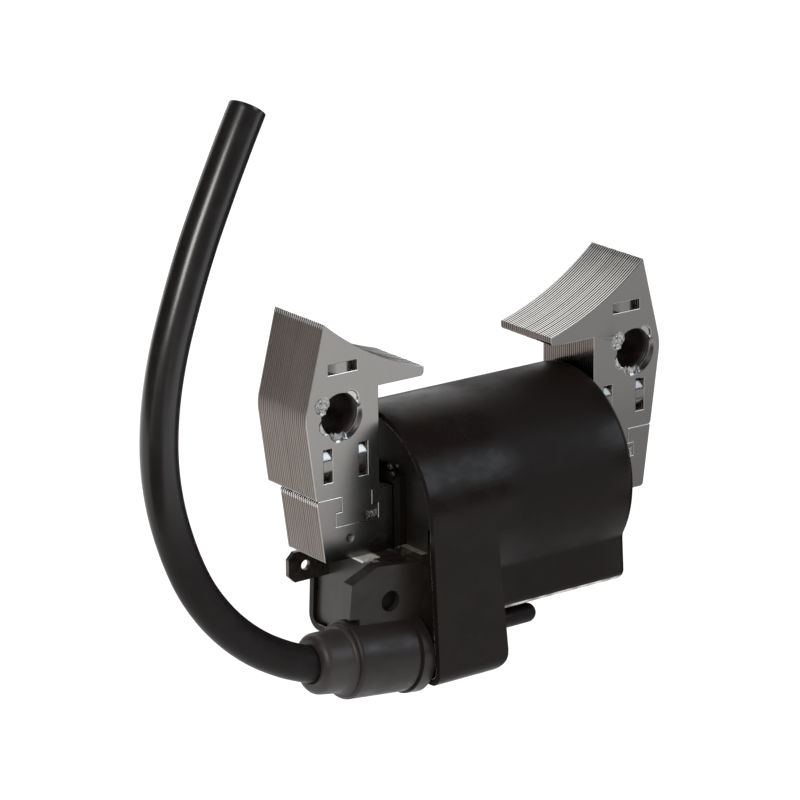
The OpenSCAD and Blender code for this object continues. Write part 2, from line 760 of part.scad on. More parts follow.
module potting_compound() color([0.16, 0.16, 0.14]) place() difference() {
    case_cavity(slip, face_x);
    // the open space around the bobbin's end, above the ledge
    translate([face_x - nudge, bar_y - 2 * case_r, bar_z + ledge_drop])
        cube([recess_x - face_x + nudge, 4 * case_r, 2 * case_r]);
    rod(secondary_x0 - slip, end_inner_x + nudge, fin_r + slip);
    snout(face_x - nudge, secondary_x0, 2 * slip);
    // the slot between the lead holder and the front wall
    translate([face_x - nudge, bar_y - 2 * case_r, holder_z + 3])
        cube([slot_depth + nudge, 2 * case_r - holder_y - web_front - bar_y, case_r]);
    board_solid();
    transistor_solid();
    chip_solid();
    diode_solid();
    resistor_solids();
    capacitor_solids();
    spade();
    strap();
    primary_wires(slip);
    link_wire(slip);
    on_holder() {
        translate([0, 0, -root_len - slip]) cylinder(r = root_r + slip, h = 2 * root_len);
        translate([0, 0, -root_len - spike_head_t - 2 * slip])
            cylinder(r = spike_head_r + slip, h = spike_head_t + 1);
        translate([-nudge, -web_front - slip, -slip])
            cube([web_h + nudge + slip, boss_t + 2 * slip, 2 * root_len]);
    }
}

// ---- Lead -----------------------------------------------------------------

function unit(v) = v / norm(v);

// Direction of the lead at its i-th point
function heading(i) =
    unit(lead_points[min(i + 1, len(lead_points) - 1)] - lead_points[max(i - 1, 0)]);

// A ring of points round the lead's i-th point
function ring(i, r) =
    let (u = unit(cross(heading(i), [0, 1, 0])), v = cross(u, heading(i)))
    [for (k = [0:lead_sides - 1])
        lead_points[i] + r * (cos(k * 360 / lead_sides) * u + sin(k * 360 / lead_sides) * v)];

// Quads between two rows of points; a and b are the indices of each row's first point
function band(a, b, turned) =
    [for (k = [0:lead_sides - 1])
        let (m = (k + 1) % lead_sides)
        turned ? [a + k, a + m, b + m, b + k] : [a + k, b + k, b + m, a + m]];

// A closed tube along the lead, from its first ring on; r_in of 0 makes it solid
module lead_layer(r_out, r_in, first = 0) {
    last = len(lead_points) - 1;
    rings = last - first + 1;
    n = lead_sides;
    inner = rings * n;
    outer_pts = [for (i = [first:last]) each ring(i, r_out)];
    inner_pts = [for (i = [first:last]) each ring(i, r_in)];
    sides = [for (i = [0:rings - 2]) each band(i * n, (i + 1) * n, false)];
    if (r_in > 0)
        polyhedron(concat(outer_pts, inner_pts), concat(
            sides,
            [for (i = [0:rings - 2]) each band(inner + i * n, inner + (i + 1) * n, true)],
            band(0, inner, true),
            band((rings - 1) * n, inner + (rings - 1) * n, false)));
    else
        polyhedron(outer_pts, concat(
            sides, [[for (k = [0:n - 1]) k]], [[for (k = [n - 1:-1:0]) (rings - 1) * n + k]]));
}

module lead_jacket() color([0.05, 0.05, 0.05]) place() lead_layer(lead_r, jacket_bore);
module lead_insulation() color([0.75, 0.74, 0.7]) place()
    lead_layer(insulation_r, conductor_bore);
module lead_conductor() color(copper) place() lead_layer(conductor_r, 0, 1);

left_leg_laminations();
right_leg_laminations();
core_bar_laminations();
coil_case();
potting_compound();
primary_bobbin();
primary_winding();
insulating_sleeve();
secondary_bobbin();
secondary_winding();
primary_lead_wires();
high_tension_link();
circuit_board();
power_transistor();
control_chip();
chip_resistors();
chip_capacitors();
protection_diode();
kill_terminal();
ground_strap();
contact_spike();
lead_holder();
lead_boot();
lead_jacket();
lead_insulation();
lead_conductor();
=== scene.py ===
# %% [markdown]
# # The ignition coil of a small air-cooled engine
# Two laminated steel legs stand on a laminated bar, and the bar runs through a black moulded case
# full of windings and potting resin. A stiff high tension lead leaves a rubber boot on one side.
# The sizes come from the packed CAD model, which stays fixed: this script only dresses it.
# Each step below says what the real piece is, how it could be made, and why it is made this way.

# %% Load the CAD frame
import math
import random

import bmesh
import bpy
from mathutils import Matrix, Vector, noise


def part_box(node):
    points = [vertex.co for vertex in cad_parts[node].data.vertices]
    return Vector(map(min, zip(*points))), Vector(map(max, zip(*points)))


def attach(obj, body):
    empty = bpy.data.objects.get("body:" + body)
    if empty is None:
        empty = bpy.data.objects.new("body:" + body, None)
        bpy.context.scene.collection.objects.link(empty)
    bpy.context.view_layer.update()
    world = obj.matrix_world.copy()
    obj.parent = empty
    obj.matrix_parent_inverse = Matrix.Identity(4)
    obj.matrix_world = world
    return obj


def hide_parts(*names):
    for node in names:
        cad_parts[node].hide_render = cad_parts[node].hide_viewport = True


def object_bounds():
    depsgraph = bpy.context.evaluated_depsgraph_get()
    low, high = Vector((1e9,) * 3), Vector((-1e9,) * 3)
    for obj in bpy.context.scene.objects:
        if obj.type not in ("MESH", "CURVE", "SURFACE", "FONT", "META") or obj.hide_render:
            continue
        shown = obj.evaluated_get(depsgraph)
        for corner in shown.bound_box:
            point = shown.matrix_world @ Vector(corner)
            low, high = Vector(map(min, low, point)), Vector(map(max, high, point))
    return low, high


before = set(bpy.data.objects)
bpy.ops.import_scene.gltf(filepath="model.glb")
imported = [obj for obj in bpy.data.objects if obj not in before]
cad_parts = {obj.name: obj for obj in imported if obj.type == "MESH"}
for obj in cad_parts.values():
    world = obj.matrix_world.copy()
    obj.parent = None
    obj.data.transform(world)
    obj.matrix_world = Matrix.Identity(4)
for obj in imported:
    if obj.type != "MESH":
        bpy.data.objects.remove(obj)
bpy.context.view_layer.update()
MM = 0.001

# %% [markdown]
# ## The camera
# A long lens from far away hardly bends the coil's proportions. The camera could be aimed with a
# Track To constraint, but three unit vectors give its small roll as well, and they can be
# checked one by one. Azimuth 0 looks along +Y, and this view is from the lead's side.

# %% Place the camera
def camera_axes(azimuth, elevation, roll):
    """Right, up and back of a camera, as unit vectors."""
    a, e, r = (math.radians(d) for d in (azimuth, elevation, roll))
    back = Vector((math.sin(a) * math.cos(e), -math.cos(a) * math.cos(e), math.sin(e)))
    right = Vector((math.cos(a), math.sin(a), 0))
    up = back.cross(right)
    return (right * math.cos(r) + up * math.sin(r),
            up * math.cos(r) - right * math.sin(r), back)


scene = bpy.context.scene
CAMERA_FAR = 583.6         # from what it aims at, in millimetres
right, up, back = camera_axes(-35.97, 17.20, -0.52)
aim = Vector((-12.24, 0, -2.13)) * MM
camera = bpy.data.objects.new("camera", bpy.data.cameras.new("camera"))
camera.data.sensor_width = 36
camera.data.lens = 176.8
camera.data.clip_start = 0.05
camera.data.clip_end = 20
camera.matrix_world = (Matrix.Translation(aim + back * CAMERA_FAR * MM)
                       @ Matrix((right, up, back)).transposed().to_4x4())
scene.collection.objects.link(camera)
scene.camera = camera
scene.view_settings.view_transform = "Standard"
print("camera at", [round(c, 3) for c in camera.location])

# %% [markdown]
# ## The route of the lead
# The lead is a stiff cable with a thick silicone jacket, about 10 cm long, cut square at its free
# end. It keeps the bend it was packed with, so its route is a fixed curve. The points are the
# ones the CAD model uses. A Catmull-Rom curve through them rounds the corners between them.

# %% Draw the route
LEAD_R = 2.75
HOLDER_TILT = math.radians(6)
HOLDER_AT = Vector((-19.0, -11.4, -36.75))      # where the holder's axis meets its flange
OUT = Vector((-math.cos(HOLDER_TILT), 0, math.sin(HOLDER_TILT)))


def on_axis(s):
    """A point on the lead holder's axis, s millimetres out of its flange."""
    return HOLDER_AT + OUT * s


lead_points = [on_axis(18.3)] + [Vector(p) for p in (
    (-41.5, -11.4, -33.0), (-46.0, -11.2, -30.4), (-50.0, -11.0, -27.1), (-53.5, -10.8, -23.1),
    (-56.3, -10.5, -18.5), (-58.5, -10.1, -12.8), (-60.0, -9.6, -6.4), (-60.4, -9.0, 0.2),
    (-59.6, -8.3, 7.1), (-57.7, -7.5, 14.1), (-54.8, -6.6, 21.2), (-51.1, -5.5, 28.7),
    (-47.0, -4.4, 35.8), (-43.1, -3.3, 42.0), (-40.0, -2.4, 46.6))]


def catmull_rom(points, steps):
    """A smooth line through points, with steps pieces between each two."""
    ends = [2 * points[0] - points[1], *points, 2 * points[-1] - points[-2]]
    line = []
    for a, b, c, d in zip(ends, ends[1:], ends[2:], ends[3:]):
        for i in range(steps):
            t = i / steps
            line.append(0.5 * (2 * b + (c - a) * t + (2 * a - 5 * b + 4 * c - d) * t * t
                               + (3 * b - a - 3 * c + d) * t ** 3))
    return line + [points[-1]]


route = catmull_rom(lead_points, 8)
free_length = sum((b - a).length for a, b in zip(route, route[1:]))
print(f"free lead: {free_length:.1f} mm in {len(route)} points")

# %% [markdown]
# ## A short way to write shader maths
# A material's pattern is a sum of node outputs. Adding every Math node by hand hides the sum, so
# Value wraps an output and turns +, -, * and / into nodes, and | picks the larger of two. Finish
# holds one material, and its node method adds any other node: first its settings, then the
# values or links of its sockets. Places are in millimetres, from the object's own coordinates,
# so a pattern stays on its piece.

# %% Value and Finish
class Value:
    """What comes out of a node: sums on it add Math nodes."""

    def __init__(self, finish, socket):
        self.finish, self.socket = finish, socket

    def math(self, operation, *inputs):
        return self.finish.node("ShaderNodeMath", {"operation": operation},
                                dict(enumerate(inputs)))

    def __add__(self, other):
        return self.math("ADD", self, other)

    def __sub__(self, other):
        return self.math("SUBTRACT", self, other)

    def __rsub__(self, other):
        return self.math("SUBTRACT", other, self)

    def __mul__(self, other):
        return self.math("MULTIPLY", self, other)

    __radd__, __rmul__ = __add__, __mul__

    def __truediv__(self, other):
        return self.math("DIVIDE", self, other)

    def __or__(self, other):
        return self.math("MAXIMUM", self, other)

    def floor(self):
        return self.math("FLOOR", self)

    def ramp(self, low, high):
        """0 below low, 1 above high, and smooth between them."""
        return self.finish.node("ShaderNodeMapRange", {"interpolation_type": "SMOOTHSTEP"},
                                {"Value": self, "From Min": low, "From Max": high})


class Finish:
    """One material, with its Principled shader and its places in millimetres."""

    def __init__(self, name, colour, roughness, metallic=0.0):
        self.material = bpy.data.materials.new(name)
        self.material.use_nodes = True
        self.tree = self.material.node_tree
        self.shader = self.tree.nodes["Principled BSDF"]
        self.set({"Base Color": (*colour, 1), "Roughness": roughness, "Metallic": metallic})
        place = self.node("ShaderNodeTexCoord", out="Object")
        self.place = self.stretch(place, (1000, 1000, 1000))

    def set(self, sockets, node=None):
        """Links or sets sockets, by name or number."""
        inputs = (node or self.shader).inputs
        for key, value in sockets.items():
            socket = inputs[key] if isinstance(key, int) else next(
                s for s in inputs if s.name == key and s.enabled)
            if isinstance(value, Value):
                self.tree.links.new(value.socket, socket)
            else:
                socket.default_value = value

    def node(self, kind, settings=None, sockets=None, out=None):
        """Adds a node and returns its output: the first, or the one named by out."""
        node = self.tree.nodes.new(kind)
        for key, value in (settings or {}).items():
            setattr(node, key, value)
        self.set(sockets or {}, node)
        shown = [s for s in node.outputs if s.enabled]
        return Value(self, next(s for s in shown if out in (None, s.name)))

    def stretch(self, vector, by):
        """A vector multiplied by one number for each axis."""
        return self.node("ShaderNodeVectorMath", {"operation": "MULTIPLY"}, {0: vector, 1: by})

    def noise(self, size, detail=3, by=(1, 1, 1), rough=0.5):
        """Noise from 0 to 1 with features about size millimetres across, stretched along by."""
        place = self.stretch(self.place, [1 / (size * b) for b in by])
        return self.node("ShaderNodeTexNoise", None,
                         {"Vector": place, "Scale": 1.0, "Detail": detail, "Roughness": rough})

    def blend(self, factor, a, b):
        """Colour a where factor is 0, and b where it is 1."""
        a, b = ((*c, 1) if isinstance(c, tuple) else c for c in (a, b))
        return self.node("ShaderNodeMix", {"data_type": "RGBA"},
                         {"Factor": factor, "A": a, "B": b}, "Result")

    def bump(self, height, millimetres, strength=1.0):
        """Tilts the surface as if it stood height times millimetres higher."""
        self.set({"Normal": self.node("ShaderNodeBump", None, {
            "Height": height, "Distance": millimetres * MM, "Strength": strength})})

    def axis(self, which):
        """The place along X, Y or Z, in millimetres."""
        return self.node("ShaderNodeSeparateXYZ", None, {"Vector": self.place}, which)


print("a finish can:", ", ".join(name for name in vars(Finish) if name[0] != "_"))

# %% [markdown]
# ## The finishes
# Core steel leaves the rolling mill with a satin face. Here that face also gets a painted dark
# reflection, to the right and low down. Shearing leaves edges that are half burnished and half
# torn, with dirt between the sheets. The edge finish works out a sheet's number from its depth in
# the stack, and a random number from that, because no two sheets are alike. At the corners each
# sheet's end gets a painted bead: a painted highlight on one half and painted shade on the other.
# The other finishes are places on the same steel. The pole faces were ground after stacking and
# are the brightest, with painted shade towards their upper end. The inner edges shine more, the
# bolt holes get painted shade deep inside and painted light at their mouth, the corners of the
# front sheet get a painted highlight, and the stake marks are freshly struck metal.

# %% Steel
SHEET = 0.5
STACK_FRONT = -6.25


def rolled_steel(name, colour, roughness):
    """Satin core sheet face: a faint cloud, rolling lines, and a painted dark reflection right and
    low down.
    """
    f = Finish(name, colour, roughness, metallic=1.0)
    clouds = f.noise(9, 2)
    lines = f.noise(0.35, 2, by=(1, 1, 14))
    # painted dark reflection: the face is darker to the right and low down
    painted_dark_reflection = f.axis("X").ramp(-14, 12) * 0.8 + (1 - f.axis("Z").ramp(-20, -2)) * 0.5
    dark = tuple(c * 0.88 for c in colour)
    reflection_dark = tuple(c * 0.5 for c in colour)
    clean = f.blend(clouds * 0.6 + lines * 0.4, dark, colour)
    f.set({"Base Color": f.blend(painted_dark_reflection, clean, reflection_dark),
           "Roughness": roughness - 0.04 + clouds * 0.08})
    f.bump(f.noise(0.2, 2), 0.002, 0.3)
    return f.material


TEETH = (13.95, -12.8)     # heights of the corners where each sheet's end gets painted beads of light and shade
PAINTED_BEAD_HIGHLIGHT = (0.95, 0.94, 0.92)


def cut_steel(name, torn, burnished, roughness, dirty, uneven, lift, fade, seam=0.0):
    """Sheared sheet: a burnished and a torn band on each edge, and dirt between the sheets.

    dirty, uneven and lift say how dark the seams are, how much the tone wanders and how bright
    it is. fade paints shade towards the upper end, and seam widens the dirt. At the corners each
    sheet gets a painted highlight on its front half and painted shade on its back half.
    """
    f = Finish(name, torn, roughness, metallic=1.0)
    depth = (f.axis("Y") - STACK_FRONT) / SHEET
    number = depth.floor()
    within = depth - number
    each = f.node("ShaderNodeTexWhiteNoise", {"noise_dimensions": "1D"}, {"W": number}, "Value")
    streaks = f.noise(0.3, 3, by=(1, 0.6, 4))
    stain = f.noise(5, 3)
    band = 1 - (within + streaks * 0.2).ramp(0.45, 0.75)
    tone = band * 0.5 + (each * 0.14 + streaks * 0.3 + stain * 0.7 - 0.57) * uneven + lift
    # painted shade: the tone darkens towards the upper end, by fade
    tone = tone - f.axis("Z").ramp(-12, 13) * fade
    dirt_and_bead_shade = within.ramp(0.84 - seam, 0.96 - seam / 2)
    dirt_and_bead_shade = (dirt_and_bead_shade + (1 - within.ramp(0.04 + seam / 2, 0.16 + seam))) * dirty
    dirt = tuple(c * 0.3 for c in torn)
    # painted beads at the corners: a painted highlight on each sheet's front half, painted shade
    # on its back half
    corner = 0
    for at in TEETH:
        off = f.axis("Z") - at
        corner = corner + (1 - (off * off).ramp(0.16, 0.5))
    dirt_and_bead_shade = dirt_and_bead_shade | corner * within.ramp(0.45, 0.65)
    painted_bead_highlight = corner * (1 - within.ramp(0.35, 0.55)) * 0.9
    sheared = f.blend(painted_bead_highlight, f.blend(tone, torn, burnished), PAINTED_BEAD_HIGHLIGHT)
    f.set({"Base Color": f.blend(dirt_and_bead_shade, sheared, dirt),
           "Roughness": roughness - 0.08 + stain * 0.16 + dirt_and_bead_shade * 0.2})
    f.bump(streaks, 0.02, 0.5)
    return f.material


def bored_steel(name, painted_shade, front, roughness):
    """The wall of a bolt hole: painted shade deep inside, and painted light at the front sheets.
    """
    f = Finish(name, painted_shade, roughness, metallic=1.0)
    streaks = f.noise(0.4, 3, by=(1, 0.4, 1))
    # near is 1 at the front sheets: painted light at the hole's mouth, and painted shade deeper in
    near = 1 - (f.axis("Y") + streaks * 1.5).ramp(-5.6, -3.4)
    f.set({"Base Color": f.blend(near, painted_shade, front),
           "Roughness": roughness - 0.05 + streaks * 0.1})
    f.bump(streaks, 0.03, 0.6)
    return f.material


def struck_steel(name, dull, bright, roughness):
    """Fresh metal where a punch has bitten."""
    f = Finish(name, dull, roughness, metallic=1.0)
    grit = f.noise(0.6, 2)
    f.set({"Base Color": f.blend(grit.ramp(0.35, 0.75), dull, bright),
           "Roughness": roughness - 0.05 + grit * 0.1})
    return f.material


steel_face = rolled_steel("rolled steel face", (0.315, 0.308, 0.296), 0.27)
# The seventh number, fade, paints shade towards the upper end: strongly on the pole faces.
steel_edge = cut_steel("sheared steel edge", (0.115, 0.088, 0.074), (0.30, 0.262, 0.235), 0.40,
                       0.5, 0.55, 0.42, 0.04)
steel_pole = cut_steel("ground pole face", (0.12, 0.115, 0.11), (0.95, 0.93, 0.90), 0.25,
                       1.0, 0.6, 0.95, 0.52, 0.22)
steel_bore = bored_steel("bolt hole wall", (0.030, 0.020, 0.017), (0.22, 0.21, 0.20), 0.55)
steel_struck = struck_steel("struck steel", (0.30, 0.295, 0.29), (0.52, 0.51, 0.49), 0.30)
# painted highlight: the front sheet's corner chamfers get pale steel, so that they show as bright
# lines
steel_corner_highlight = rolled_steel("rounded sheet corner", (0.62, 0.61, 0.59), 0.28)
steel_inner = cut_steel("inner sheared edge", (0.10, 0.078, 0.066), (0.22, 0.19, 0.17), 0.16,
                        0.5, 0.5, 0.32, 0.0)
steel_bright = rolled_steel("bright staked steel", (0.62, 0.61, 0.59), 0.30)
STEELS = (steel_face, steel_edge, steel_pole, steel_bore, steel_struck, steel_corner_highlight,
          steel_inner, steel_bright)
FACE, EDGE, POLE, BORE, STRUCK, CORNER, INNER, BRIGHT = range(8)
print("steel finishes:", len(STEELS))

# %% [markdown]
# The case, the lead holder and the boot are all black, yet they look different. The case is a
# glossy thermoset with a worn haze, and one band across it is duller than the rest. The holder is
# a duller glass-filled nylon, and the boot and the jacket are rubber, the jacket with a slight
# gloss up high where hands have wiped it. The difference is in the roughness, so that is where
# most nodes go.

# %% Plastics and rubber
def specks(f, spacing, share, size):
    """Dust: tiny round specks in a share of the cells of a Voronoi pattern."""
    place = f.stretch(f.place, (1 / spacing,) * 3)
    pattern = [f.node("ShaderNodeTexVoronoi", None, {"Vector": place, "Scale": 1.0}, out)
               for out in ("Distance", "Color")]
    lucky = f.node("ShaderNodeSeparateColor", None, {"Color": pattern[1]}, "Red")
    return (1 - pattern[0].ramp(size * 0.6 / spacing, size / spacing)) * lucky.ramp(
        1 - share, 1.001 - share)


def moulded(name, colour, smear, roughness, haze, shine, dull=None):
    """Moulded plastic: hazy patches in the gloss, a few rubbed marks and some dust.

    dull is a band across X: where it starts, is full, starts to end and is over.
    """
    f = Finish(name, colour, roughness)
    f.set({"Specular IOR Level": shine})
    swirl = f.noise(3.2, 4, by=(1.5, 1, 1), rough=0.6)
    patches = swirl.ramp(0.36, 0.64) * (1.25 - f.axis("X").ramp(-14, 12) * 0.7)
    marks = f.noise(0.5, 3, by=(4, 1, 1)).ramp(0.62, 0.74) * patches
    dust = specks(f, 1.9, 0.10, 0.12)
    rough = roughness + patches * 0.24 * haze + marks * 0.05 + dust * 0.3
    if dull:
        x = f.axis("X")
        rough = rough + x.ramp(dull[0], dull[1]) * (1 - x.ramp(dull[2], dull[3])) * 0.25
    f.set({"Base Color": f.blend(dust + marks * 0.5 * haze, colour, smear), "Roughness": rough})
    f.bump(swirl * 0.8 + f.noise(0.3, 2) * 0.2, 0.05 * haze, 0.3)
    return f.material


def rubber(name, colour, roughness, shine, gloss=None):
    """Silicone or boot rubber: a fine even grain and a faint dusty bloom.

    gloss is a coat that grows with height: where it starts, where it is full, and how strong.
    """
    f = Finish(name, colour, roughness)
    f.set({"Specular IOR Level": shine})
    if gloss:
        start, full, weight = gloss
        f.set({"Coat Weight": f.axis("Z").ramp(start, full) * weight, "Coat Roughness": 0.22})
    grain = f.noise(0.25, 3)
    bloom = f.noise(2.5, 3).ramp(0.45, 0.75)
    pale = tuple(c * 1.5 + 0.003 for c in colour)
    dusty = bloom * 0.4 + grain * 0.2 + specks(f, 1.4, 0.1, 0.1)
    f.set({"Base Color": f.blend(dusty, colour, pale),
           "Roughness": roughness + bloom * 0.1 + grain * 0.05})
    f.bump(grain, 0.035, 0.7)
    return f.material


case_black = moulded("case plastic", (0.0090, 0.0064, 0.0056), (0.024, 0.023, 0.025),
                     0.23, 0.42, 0.13, dull=(-6, 0, 11, 19))
holder_black = moulded("holder plastic", (0.0170, 0.0130, 0.0116), (0.034, 0.031, 0.029),
                       0.32, 0.6, 0.30)
snout_black = moulded("bobbin plastic", (0.0065, 0.0052, 0.0045), (0.012, 0.011, 0.010),
                      0.45, 0.3, 0.10)
boot_black = rubber("boot rubber", (0.024, 0.0190, 0.0180), 0.42, 0.42)
print("plastics:", case_black.name, "/", holder_black.name, "/", boot_black.name)

# %% [markdown]
# Resin, tin and copper fill in the rest. The potting is poured, so it is smooth but slightly
# wavy, and it gets painted shade in the recess round the bobbin's end. A ledge of it gets painted
# light, and the case's rim a painted highlight. The spade is tinned and has dulled. The strap is a
# brighter strip of the same, which runs in under a smear of dark resin.
# The pieces sealed inside the case get plain finishes of their own, in case someone cuts it open.

# %% Resin, tin and the finishes inside
def plain(name, colour, other, roughness, metallic=0.0, size=1.0, by=(1, 1, 1), bump=0.01):
    """A finish that wanders between two colours, for small or hidden pieces."""
    f = Finish(name, colour, roughness, metallic)
    cloud = f.noise(size, 3, by=by)
    f.set({"Base Color": f.blend(cloud.ramp(0.3, 0.7), colour, other),
           "Roughness": roughness - 0.05 + cloud * 0.1})
    f.bump(cloud, bump, 0.6)
    return f.material


def poured(name, painted_shade, colour, other, roughness):
    """Potting resin, with painted shade in the open space round the bobbin's end, above -20 mm."""
    f = Finish(name, colour, roughness)
    cloud = f.noise(3, 3)
    upper = f.axis("Z").ramp(-22.5, -20)
    f.set({"Base Color": f.blend(upper, f.blend(cloud.ramp(0.3, 0.7), colour, other), painted_shade),
           "Roughness": roughness - 0.05 + cloud * 0.1})
    f.bump(cloud, 0.05, 0.6)
    return f.material


def tinned_strip(name, colour, dirt, roughness):
    """A solder-bright strip whose far part is under a smear of dark resin."""
    f = Finish(name, colour, roughness, metallic=0.35)
    cloud = f.noise(0.7, 3)
    smeared = (f.axis("X") + cloud * 0.6).ramp(-22.1, -21.5)
    pale = f.blend(cloud.ramp(0.3, 0.7), tuple(c * 0.8 for c in colour), colour)
    f.set({"Base Color": f.blend(smeared, pale, dirt),
           "Roughness": roughness - 0.05 + cloud * 0.1})
    f.bump(cloud, 0.01, 0.6)
    return f.material


# its first colour is the painted shade in the recess round the bobbin's end
resin = poured("potting resin", (0.0075, 0.0058, 0.0045), (0.017, 0.0145, 0.0110),
               (0.027, 0.023, 0.0185), 0.33)
painted_lit_ledge = plain("ledge resin", (0.10, 0.094, 0.080), (0.17, 0.16, 0.14), 0.45, size=2)
painted_edge_highlight = plain("painted rim highlight", (0.12, 0.115, 0.105), (0.80, 0.77, 0.72), 0.4, size=2.5)
dull_tin = plain("dull tin", (0.10, 0.085, 0.075), (0.17, 0.15, 0.135), 0.42, 1.0, size=0.8)
bright_tin = tinned_strip("strap tin", (0.74, 0.72, 0.66), (0.02, 0.016, 0.013), 0.5)
jacket_black = rubber("lead jacket", (0.0098, 0.0080, 0.0076), 0.34, 0.10, gloss=(-18, 8, 0.9))
lead_white = plain("lead insulation", (0.66, 0.64, 0.58), (0.74, 0.72, 0.66), 0.55, size=0.4)
bare_copper = plain("bare copper", (0.62, 0.30, 0.16), (0.75, 0.42, 0.25), 0.32, 1.0, size=0.3)
wound_copper = plain("wound copper", (0.48, 0.16, 0.06), (0.68, 0.32, 0.14), 0.35, 1.0,
                     size=0.3, by=(0.25, 3, 3), bump=0.05)
board_green = plain("circuit board", (0.02, 0.12, 0.05), (0.03, 0.17, 0.08), 0.4, size=1.5)
chip_black = plain("chip package", (0.02, 0.02, 0.021), (0.035, 0.034, 0.033), 0.55, size=0.4)
ceramic = plain("ceramic", (0.42, 0.28, 0.15), (0.52, 0.37, 0.22), 0.45, size=0.3)
paper = plain("insulating paper", (0.62, 0.48, 0.26), (0.72, 0.58, 0.34), 0.7, size=1.2)
brass = plain("brass", (0.62, 0.45, 0.18), (0.72, 0.56, 0.28), 0.33, 1.0, size=0.6)
print("finishes in all:", len(bpy.data.materials))

# %% [markdown]
# ## From CAD node to finished piece
# A CAD solid has the right size but razor edges, and real edges catch light. The node could keep
# its mesh under a Bevel modifier, yet its loose triangles must not change. So each visible piece
# starts from a merged copy of its node, whose flat faces are joined up before the edges are cut.
# Weighted normals then keep the flats flat, and let only the narrow bevels turn.

# %% Copy, bevel and finish a node
def copy_of(node):
    """A bmesh of a CAD node in millimetres, with its triangles joined into flat faces."""
    bm = bmesh.new()
    bm.from_mesh(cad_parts[node].data, vertex_normals=False)
    bmesh.ops.scale(bm, vec=(1 / MM,) * 3, verts=bm.verts)
    bmesh.ops.remove_doubles(bm, verts=bm.verts, dist=0.0005)
    bmesh.ops.dissolve_limit(bm, angle_limit=math.radians(0.5), verts=bm.verts, edges=bm.edges)
    return bm


def bevel(bm, width, sharper_than=25):
    """Rounds all edges that turn by more than sharper_than degrees."""
    limit = math.radians(sharper_than)
    edges = [e for e in bm.edges if e.is_manifold and e.calc_face_angle(0) > limit]
    bmesh.ops.bevel(bm, geom=edges, affect="EDGES", offset=width, segments=2,
                    profile=0.5, material=-1, clamp_overlap=True)


def extrude_ring(bm, ring):
    """Extrudes a ring of edges where it stands: returns the new ring and its vertices."""
    made = bmesh.ops.extrude_edge_only(bm, edges=ring)["geom"]
    ring = [e for e in made if isinstance(e, bmesh.types.BMEdge) and e.is_boundary]
    return ring, {v for e in ring for v in e.verts}


def turn_about(bm, verts, axis, degrees):
    """Turns vertices about an axis through the middle of the frame."""
    bmesh.ops.rotate(bm, verts=verts, cent=(0, 0, 0),
                     matrix=Matrix.Rotation(math.radians(degrees), 3, axis))


def piece_from(name, bm, finishes, replaces=(), smooth=35, weighted=False):
    """Makes the piece from a bmesh in millimetres; edges that turn past smooth stay sharp."""
    open_edges = sum(not e.is_manifold for e in bm.edges)
    bmesh.ops.scale(bm, vec=(MM,) * 3, verts=bm.verts)
    for face in bm.faces:
        face.smooth = True
    mesh = bpy.data.meshes.new(name)
    bm.to_mesh(mesh)
    bm.free()
    if "custom_normal" in mesh.attributes:
        mesh.attributes.remove(mesh.attributes["custom_normal"])
    mesh.set_sharp_from_angle(angle=math.radians(smooth))
    for finish in finishes:
        mesh.materials.append(finish)
    piece = bpy.data.objects.new(name, mesh)
    scene.collection.objects.link(piece)
    if weighted:
        piece.modifiers.new("weighted normals", "WEIGHTED_NORMAL").keep_sharp = True
    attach(piece, "root")
    if replaces:
        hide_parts(*replaces)
    print(f"{name}: {len(mesh.vertices)} vertices, {len(mesh.polygons)} faces, "
          f"{open_edges} open edges")
    return piece


# %% [markdown]
# ## The legs
# Each leg is 25 stamped sheets, and each sheet is a solid of its own. A Bevel modifier on them
# would trip over the corners where the flat faces were stitched together. So the flat faces come
# off, every outline is drawn in and forward by one small chamfer, and new faces fill the outlines.

# %% Chamfer the sheets
SHEETS = 25
CHAMFER = 0.07
VARNISH = 0.02             # between two sheets
FRONT_FACE = STACK_FRONT + VARNISH / 2


def sheet_side(y):
    """The number of the sheet at a depth, and -1 for its front half or 1 for its back half."""
    depth = (y - STACK_FRONT) / SHEET
    return int(depth), 1 if depth % 1 > 0.5 else -1


def chamfer_sheets(bm):
    """Takes the flat faces off a stack and draws each outline in and outwards."""
    flat = [f for f in bm.faces if abs(f.normal.y) > 0.99]
    bmesh.ops.delete(bm, geom=flat, context="FACES")
    rim = [e for e in bm.edges if e.is_boundary]
    draw_in = {}
    for v in {v for e in rim for v in e.verts}:
        a, b = v.link_faces[0].normal, v.link_faces[-1].normal
        draw_in[v] = (a + b) * -CHAMFER / (1 + a.dot(b))
    made = bmesh.ops.extrude_edge_only(bm, edges=rim)["geom"]
    for v in [v for v in made if isinstance(v, bmesh.types.BMVert)]:
        corner = next(e.other_vert(v) for e in v.link_edges if e.other_vert(v) in draw_in)
        v.co += draw_in[corner]
        number, outward = sheet_side(corner.co.y)
        corner.co.y -= outward * (CHAMFER if number or outward > 0 else CHAMFER / 2)


def close_sheets(bm):
    """Fills the open outlines of each plane with flat faces."""
    planes = {}
    for e in bm.edges:
        if e.is_boundary:
            planes.setdefault(round(e.verts[0].co.y, 2), []).append(e)
    for y, edges in planes.items():
        bmesh.ops.triangle_fill(bm, edges=edges, use_beauty=True,
                                normal=(0, sheet_side(y)[1], 0))
    bmesh.ops.recalc_face_normals(bm, faces=bm.faces)


print(f"chamfer: {CHAMFER} mm on both sides of {SHEETS} sheets of {SHEET} mm")

# %% [markdown]
# A punch has staked each leg in places round its mounting hole and on its foot, which pushed
# rough dents into the front sheet. A bump map would look flat from the side, so the front face
# gets a collar of fine rings round the hole and a fine patch on the foot, and the dents are real.

